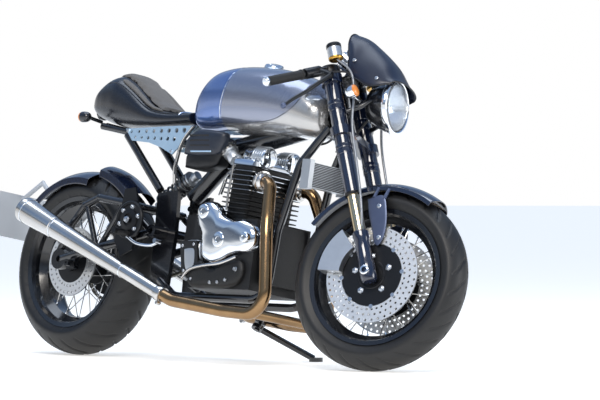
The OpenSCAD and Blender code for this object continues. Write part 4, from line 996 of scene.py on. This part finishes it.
# headlight, clocks, screen, flashers, bars
lamp = dict(at=(199, 0, 882), tip=math.radians(110))
lampAt = np.array(lamp["at"], float)
lampRun = np.array([math.sin(lamp["tip"]), 0, math.cos(lamp["tip"])])
shell = [(0, -97), (28, -96), (50, -92), (60, -84), (74, -58), (84, -30), (88, -14), (84, -12)]
makePiece("lampBucket", onFork, [turned(shell, lampAt, lampRun, 80)], blackPaint, "fork",
    ("headlight",), sharp=50)
trim = [(82, -16), (90, -17), (93, -13), (93.5, -8), (93.3, -2), (90, 2.5), (85, 3.5), (82, 1)]
makePiece("lampRing", onFork, [turned(trim + trim[:1], lampAt, lampRun, 96)], chrome, "fork",
    sharp=50)
mirror = [(0, -62), (20, -60), (46, -48), (66, -30), (78, -14), (83, -3)]
makePiece("lampReflector", onFork, [turned(mirror, lampAt, lampRun, 72)], chrome, "fork")
makePiece("lampBulb", onFork, [turned([(0, -60), (9, -60), (9, -42), (7, -34), (0, -32)], lampAt, lampRun,
    24)], chrome, "fork")
glassDome = [(83, -1), (70, 5.5), (52, 10.5), (32, 14.5), (14, 16.6), (0, 17)]
makePiece("lampGlass", onFork, [turned(glassDome, lampAt, lampRun, 80)], lensGlass, "fork",
    thick=2.5)
makePiece("lampArms", onFork, bothSides([tube([(axleAhead + 28, 100, 880), (110, 90, 886), (141, 69, 902)],
    8, 16)]), blackPaint, "fork")

dial = dict(centre=(98, 44, 1050), tilt=math.radians(-38))
dialRun = np.array([math.sin(dial["tilt"]), 0, math.cos(dial["tilt"])])
clockShape = [(0, 0), (22, 0), (30, 4), (34.5, 12), (34.5, 42), (36, 44), (36, 49), (34, 50), (31, 50),
    (31, 45), (0, 45)]
makePiece("clockCans", onFork, bothSides([turned(clockShape, dial["centre"], dialRun, 56)]), chrome, "fork",
    ("clocks",))
face = [turned([(0, 45.2), (30.8, 45.2), (30.8, 45.8), (0, 45.8)], dial["centre"], dialRun, 56)]
makePiece("clockFaces", onFork, bothSides(face), blackPlastic, "fork")
side = np.array([0, 1.0, 0])
top = np.cross(dialRun, side)
markTurn = np.linspace(-2.3, 2.3, 13)[:, None]
dialMiddle = np.array(dial["centre"], float) + dialRun * 46.1
marks = dialMiddle + 26 * (np.cos(markTurn) * top + np.sin(markTurn) * side)
pip = turned([(0, 0), (1.3, 0), (1.3, 0.5), (0, 0.5)], (0, 0, 0), dialRun, 8)
needleFoot = np.array(dial["centre"], float) + dialRun * 47
needle = tube([needleFoot, needleFoot - top * 10 + side * 6, needleFoot - top * 20 + side * 14], 0.9, 6,
    near=(1, 0, 0))
makePiece("clockMarks", onFork, bothSides([copies(pip, marks), needle]), plateWhite, "fork")
makePiece("clockBracket", onFork,
    [block((44, -60, 1018), (114, 60, 1025), 3)] + bothSides([tube([(60, 44, 1024), (78, 44, 1040),
    (92, 44, 1056)], 8, 16)]), blackPaint, "fork")

screenStations = [[113, 1176, 96, 1128, 58], [155, 1142, 96, 1060, 88], [184, 1101, 92, 1003, 104],
    [212, 1054, 118, 975, 110], [233, 1010, 150, 940, 112], [245, 960, 186, 928, 108],
    [251, 938.5, 226, 925, 96]]
s = curveThrough(screenStations, 48)
sweep = np.linspace(0, np.pi, 49)[None]
k = np.sin(sweep) ** 0.8
screen = np.stack([s[:, 2, None] + (s[:, 0] - s[:, 2])[:, None] * k, s[:, 4, None] * np.cos(sweep),
    s[:, 3, None] + (s[:, 1] - s[:, 3])[:, None] * k], -1)
makePiece("screenShell", onFork, [surface(screen, wrapCols=False)], navySatin, "fork",
    ("flyscreen",), thick=3)
border = np.concatenate([screen[:, 0], screen[-1, 1:-1], screen[::-1, -1], screen[0, ::-1][1:-1]])
makePiece("screenEdge", onFork, [tube(np.concatenate([border, border[:1]]), 2.2, 8, near=(0.2, 0.3, 0.93))],
    blackAnodised, "fork")
makePiece("screenScrews", onFork, bothSides([bolts([screen[14, 4] + [0, 2, 0], screen[34, 4] + [0, 2, 0]],
    (0, 1, 0.1), 9, 5)]), zinc, "fork")

flash = dict(front=(92, 158, 912), rear=(72, 152, 812), tail=(-23, 0, 856))
flashRun = np.array([math.sin(math.radians(86)), 0, math.cos(math.radians(86))])
shellOf = [(0, -1), (10, 0), (17, 5), (20, 13), (21.6, 24), (22, 30), (20, 31)]
lensOf = [(20.5, 30), (20, 36), (15, 40.5), (8, 42), (0, 42.4)]
makePiece("frontFlasherShells", onFork, bothSides([turned(shellOf, flash["front"], flashRun, 40),
    tube([(112, 92, 902), (110, 150, 906)], 6, 14, near=(1, 0, 0))]), chrome, "fork",
    ("front_indicators",))
makePiece("frontFlasherLenses", onFork, bothSides([turned(lensOf, flash["front"], flashRun, 40)]), amber,
    "fork")
rearward = (-1, 0, 0)
small = [(0, 0), (9, 1), (15, 6), (18, 14), (19, 26), (19, 34), (17, 35)]
makePiece("rearFlasherShells", onBike, bothSides([turned(small, flash["rear"], rearward, 36),
    tube([(62, 84, 806), (60, 146, 812)], 6.5, 14, near=(1, 0, 0))]), blackPaint, "frame",
    ("rear_lights",))
makePiece("rearFlasherLenses", onBike,
    bothSides([turned([(18, 34), (17, 41), (10, 45), (0, 46)], flash["rear"], rearward, 36)]), amber,
    "frame")
makePiece("tailLampShell", onBike, [turned([(0, 0), (26, 0), (28, 2), (28, 14), (25, 15)], flash["tail"],
    rearward, 44)], blackPaint, "frame")
makePiece("tailLampLens", onBike, [turned([(25, 14), (24, 18), (16, 21), (0, 22)], flash["tail"], rearward,
    44)], lampRed, "frame")

bars = dict(start=(axleAhead, 132, 1032), reach=235, slope=(-0.557, 1, -0.3))
barIn = np.array(bars["start"], float)
barOut = barIn + bars["reach"] * np.array(bars["slope"]) - [0, 27, 0]
barRun = unit(barOut - barIn)
barLong = float(np.linalg.norm(barOut - barIn))


def alongBar(share):
    # a point at a share of the way from the clamp to the end
    return barIn + (barOut - barIn) * share


makePiece("barTubes", onFork,
    bothSides([turned([(0, -8), (11, -8), (11, barLong * 0.45), (0, barLong * 0.45)], barIn, barRun, 32),
          turned([(27.3, -14), (33, -14), (34, -12), (34, 12), (33, 14), (27.3, 14)],
              (axleAhead, 105, 1032), (0, 0, 1),
              48)]), blackAnodised, "fork", ("clip_ons",))
h = np.linspace(barLong * 0.43, barLong * 0.985, 97)
ribs = 15.2 + 0.55 * np.cos((h - h[0]) * 2 * np.pi / 6)
grip = np.concatenate([[(0, h[0] - 1), (17.5, h[0] - 1), (17.5, h[0] + 3)], np.stack([ribs, h], -1)[3:],
    [(0, h[-1])]])
makePiece("ribbedGrips", onFork, bothSides([turned(grip, barIn, barRun, 40)]), rubber, "fork",
    sharp=60)
makePiece("barEndWeights", onFork,
    bothSides([turned([(0, 0), (14, 0), (15.5, 2), (15.5, 9), (12, 13), (5, 14), (4, 12), (0, 12)],
    barOut - 2 * barRun, barRun, 40)]), polishedAlloy, "fork")
a0 = alongBar(0.14)
perch = [turned([(11.5, -6), (17, -6), (18, -3), (18, barLong * 0.22), (17, barLong * 0.24),
    (11.5, barLong * 0.24)], a0, barRun, 40),
         tube([a0 + [6, 4, -6], a0 + [28, 4, -20], a0 + [44, 6, -33]], [13, 11, 12], 20)]
makePiece("leverPerches", onFork, bothSides(perch), blackAnodised, "fork",
    ("hand_levers",))
blade = curveThrough([a0 + [42, 12, -34], alongBar(0.42) + [47, 0, -50], alongBar(0.62) + [41, -3, -68],
    alongBar(0.82) + [37, -5, -82], alongBar(0.98) + [33, -6, -98]], 60)
makePiece("leverBlades", onFork, bothSides([tube(blade, np.linspace(7.5, 5.4, 60), 16)]), blackAnodised,
    "fork")
makePiece("leverTips", onFork,
    bothSides([turned([(0, -10), (6, -8), (9, -4), (10, 0), (9, 4), (6, 8), (0, 10)], blade[-1], (0, 1, 0),
    24)]), slate, "fork")
pot = a0 + [64, -10, 22]
makePiece("fluidPots", onFork,
    bothSides([turned([(0, 0), (20, 0), (24, 4), (24, 44), (0, 44)], pot, (0, 0, 1), 44)]), castAlloy,
    "fork")
makePiece("fluidPotCaps", onFork, bothSides([turned([(0, 42), (25, 42), (25, 53), (22, 57), (0, 58)], pot,
    (0, 0, 1), 44)]), blackAnodised, "fork")
makePiece("fluidPotRings", onFork,
    bothSides([turned([(0, -1), (21, -1), (23, 1), (24.4, 4), (24.4, 8), (0, 8)], pot, (0, 0, 1), 44)]),
    brass, "fork")

# held hoses and cables: brake lines stay on the fork, the others cross the steering joint
brakeLine = curveThrough([pot + [4, 0, 2], pot + [30, -30, -40], (104, 112, 940), (78, 118, 820),
    (70, 120, 700), (62, 124, 560), (44, 118, 470), (20, 106, 420), (-6, 96, 400)], 120)
makePiece("brakeHoses", onFork, bothSides([tube(brakeLine, 4.2, 14)]), braid, "fork")
print("cockpit set out")


def crossing(name, startFork, viaFork, viaBike, radius=3.6):
    # a cable from the bars to the frame: fork points first, then frame points, one smooth line
    line = np.concatenate([put(onFork, startFork), put(onFork, viaFork), put(onBike, viaBike)])
    path = curveThrough(line, 110)
    points, faces = tube(path * 1000, radius, 12)
    asIs = (np.zeros(3), np.eye(3), np.zeros(3))
    piece = makePiece(name, asIs, [(points, faces)], hose, None)
    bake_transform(piece)
    return piece


crossing("throttleCable", [alongBar(0.3) * [1, -1, 1] + [14, 0, -10]], [(100, -120, 1000), (96, -70, 930)],
    [(1160, -36, 760), (1090, -52, 730)])
crossing("clutchCable", [alongBar(0.3) + [14, 0, -10]], [(100, 120, 1000), (96, 70, 930)],
    [(1160, 40, 760), (1090, 56, 730)])

# covers, screws, pegs, cooler
# side covers: a soft-cornered lid with slots drawn as dark blocks, painted shade of the openings, above a darker
# box
lid = [[541, 690], [545, 735], [575, 762], [610, 775], [670, 772], [724, 764], [733, 745], [722, 712],
    [704, 690], [640, 682], [580, 684]]
box = [[543, 646], [546, 690], [600, 704], [670, 704], [716, 702], [708, 672], [692, 652], [650, 642],
    [600, 638]]
makePiece("sideLids", onBike, bothSides([pillow(lid, 96, 38, 1, 16, 0.5, (640, 728), 112, 16)]),
    blackPlastic, "frame", ("side_covers",), sharp=60)
makePiece("airBoxes", onBike, bothSides([pillow(box, 60, 64, 1, 16, 0.6, (625, 674), 112, 40)]),
    blackAnodised, "frame", sharp=60)
# the slots are dark rubber blocks on the lid: painted shade of the slot openings
slotShadeBlocks = [block((572 + i * 5, 129, 748 - i * 17), (668 + i * 5, 134.6, 755 - i * 17), 2.5) for i in range(3)]
makePiece("lidSlotShade", onBike, bothSides(slotShadeBlocks), rubber, "frame")
makePiece("lidStrips", onBike, bothSides([block((586, 128, 694), (688, 134.4, 700), 2.5)]), brushedBlue,
    "frame")
edging = curveThrough([(579, 119, 788), (545, 119, 752), (528, 119, 722), (519, 119, 690), (512, 119, 640),
    (508, 108, 590)], 60)
makePiece("plateEdging", onBike, bothSides([tube(edging, 3.4, 12)]), blackPaint, "frame")
makePiece("plateTube", onBike, bothSides([tube(edging + [-11, 0, -3], 2.8, 12)]), stainless, "frame")
pivot = dict(x=372, z=452, face=164, screwRing=46)
hub = [(0, 0), (60, 0), (66, 3), (66, 10), (62, 13), (54, 13), (52, 9), (40, 9), (38, 14), (22, 16),
    (20, 11), (10, 11), (9, 20), (0, 21)]
makePiece("pivotCovers", onBike, bothSides([turned(hub, (pivot["x"], pivot["face"], pivot["z"]), (0, 1, 0),
    64)]), blackAnodised, "frame", sharp=30)
hubTurn = np.arange(6) * np.pi / 3 + 0.3
makePiece("pivotScrews", onBike,
    bothSides([bolts(np.stack([pivot["x"] + pivot["screwRing"] * np.cos(hubTurn),
    pivot["face"] + 9 + 0 * hubTurn, pivot["z"] + pivot["screwRing"] * np.sin(hubTurn)], -1), (0, 1, 0), 11,
    8), bolts([(pivot["x"], pivot["face"] + 20, pivot["z"])], (0, 1, 0), 15, 9)]), zinc, "frame")
intakeRing = turned([(40, -5), (45, -6), (47, 0), (45, 6), (40, 5), (40, -5)], intake[1] + [4, 0, -12],
    intakeRun, 56)
makePiece("intakeRings", onBike, bothSides([intakeRing]), blackPlastic, "frame")
makePiece("plateBorder", onBike,
    [tube([(-406.5, -106, 400), (-406.5, 106, 400), (-406.5, 106, 554), (-406.5, -106, 554),
    (-406.5, -106, 400)], 1.6, 8, near=(1, 0, 0))], blackPlastic, "frame")
makePiece("plateScrews", onBike, [bolts([(-405, s * 70, 540) for s in (-1, 1)], rearward, 9, 4)], zinc,
    "frame")
makePiece("sidePlateScrews", onBike,
    bothSides([bolts([(238, 113, 771), (470, 113, 700), (560, 113, 782)], (0, 1, 0), 9, 5)]), zinc, "frame")
peg = dict(at=(372, 150, 405), long=78)
gripLine = np.linspace(0, peg["long"], 53)
pegShape = np.concatenate([[(0, 0)], np.stack([11 + 0.8 * np.cos(gripLine * 2 * np.pi / 6), gripLine], -1),
    [(0, peg["long"])]])
makePiece("footPegs", onBike, bothSides([turned(pegShape, peg["at"], (0, 1, 0), 28)]), rubber, "frame")
pedal = curveThrough([(372, 172, 396), (430, 176, 372), (500, 180, 366), (548, 184, 378)], 40)
makePiece("footPedals", onBike, bothSides([tube(pedal, np.linspace(7, 5.5, 40), 14),
    tube([(548, 180, 378), (549, 206, 379)], 8.5, 16, near=(0, 0, 1))]), polishedAlloy, "frame")
makePiece("frontCaliperScrews", onFrontWheel,
    bothSides([bolts([(-120, 90, 30), (-132, 90, -4)], (0, 1, 0), 12, 8)]), zinc, "fork")
grillZ = np.linspace(594, 668, 15)
makePiece("coolerTubes", onBike, [block((1097, -78, z - 1.6), (1129.5, 78, z + 1.6), 1) for z in grillZ],
    blackAnodised, "frame")
finY = np.linspace(-74, 74, 75)
makePiece("coolerFins", onBike, [copies(block((1099, -0.25, 591), (1128.6, 0.25, 671), 0.1),
    np.stack([0 * finY, finY, 0 * finY], -1))], castAlloy, "frame")
print("small parts fitted")


# floor, light and camera
studio = dict(floorRadius=40.0, key=260, rim=110, fill=70, skyStrength=1.0)
ring = np.linspace(0, 2 * np.pi, 96, endpoint=False)
spread = np.array([0, 2.0, studio["floorRadius"]])
floorPoints = np.stack([spread[:, None] * np.cos(ring), spread[:, None] * np.sin(ring),
    0 * spread[:, None] * ring], -1)
floorMesh = bpy.data.meshes.new("floor")
floorMesh.from_pydata(floorPoints.reshape(-1, 3).tolist(), [], gridFaces(3, 96).tolist())
floor = bpy.data.objects.new("floor", floorMesh)
floor.location.z = -0.0008
bpy.context.scene.collection.objects.link(floor)
floorMesh.materials.append(makeFinish("paleStudioFloor", "#f7f3ec", "#f8f5ef", 900, (0.8, 0.9), 8.0, 0,
    Specular_IOR_Level=0.0, Emission_Color=fromHex("#fffefb"), Emission_Strength=0.5))

sky = bpy.data.worlds.new("studioSky")
bpy.context.scene.world = sky
sky.use_nodes = True
skyTree = sky.node_tree
backdrop = skyTree.nodes["Background"]
upward = addNode(skyTree, "SeparateXYZ",
    {"Vector": addNode(skyTree, "TexCoord").outputs["Generated"]}).outputs["Z"]
shades = addNode(skyTree, "ValToRGB", {"Fac": upward})
stops = [(0.0, "#ffffff"), (0.12, "#ffffff"), (0.2, "#8b929c"), (0.26, "#566070"), (0.33, "#a9bdd6"),
    (0.6, "#7f9cc8"), (1.0, "#c3d0e0")]
while len(shades.color_ramp.elements) < len(stops):
    shades.color_ramp.elements.new(0.5)
for element, (position, code) in zip(shades.color_ramp.elements, stops):
    element.position, element.color = position, fromHex(code)
skyTree.links.new(shades.outputs["Color"], backdrop.inputs["Color"])
backdrop.inputs["Strength"].default_value = studio["skyStrength"]


def areaLight(name, spot, aim, size, power, colour="#ffffff"):
    # a soft box at a spot, turned to face its aim
    source = bpy.data.lights.new(name, "AREA")
    source.shape, source.size, source.size_y, source.energy = "RECTANGLE", size[0], size[1], power
    source.color = fromHex(colour)[:3]
    holder = bpy.data.objects.new(name, source)
    holder.location = spot
    holder.rotation_euler = (Vector(aim) - Vector(spot)).to_track_quat("-Z", "Y").to_euler()
    bpy.context.scene.collection.objects.link(holder)
    return holder


areaLight("keyLight", (3.2, -3.6, 4.6), (0, 0, 0.5), (3.0, 2.0), studio["key"], "#fff8ee")
areaLight("overheadLight", (-0.6, 0.6, 4.8), (0, 0, 0.4), (4.5, 2.5), studio["rim"], "#e6f0ff")
areaLight("fillLight", (5.0, 2.0, 1.6), (0.3, 0, 0.5), (2.0, 2.0), studio["fill"])

# the lens looks at a point low on the machine, from its right and a little ahead
view = dict(azimuth=46.75, elevation=1.73, distance=13.343, lens=239.0, shift=(0.1397, 0.1223))
aim = np.array([0.0589, -0.1203, 0.2996])
az, el = math.radians(view["azimuth"]), math.radians(view["elevation"])
outward = np.array([math.sin(az) * math.cos(el), -math.cos(az) * math.cos(el), math.sin(el)])
lens = bpy.data.cameras.new("camera")
lens.lens, lens.sensor_width, lens.clip_end = view["lens"], 36, 200
lens.shift_x, lens.shift_y = view["shift"]
camera = bpy.data.objects.new("camera", lens)
camera.location = (aim + outward * view["distance"]).tolist()
camera.rotation_euler = Vector((-outward).tolist()).to_track_quat("-Z", "Y").to_euler()
bpy.context.scene.collection.objects.link(camera)
bpy.context.scene.camera = camera
bpy.context.scene.view_settings.view_transform = "Standard"
print("stage set")
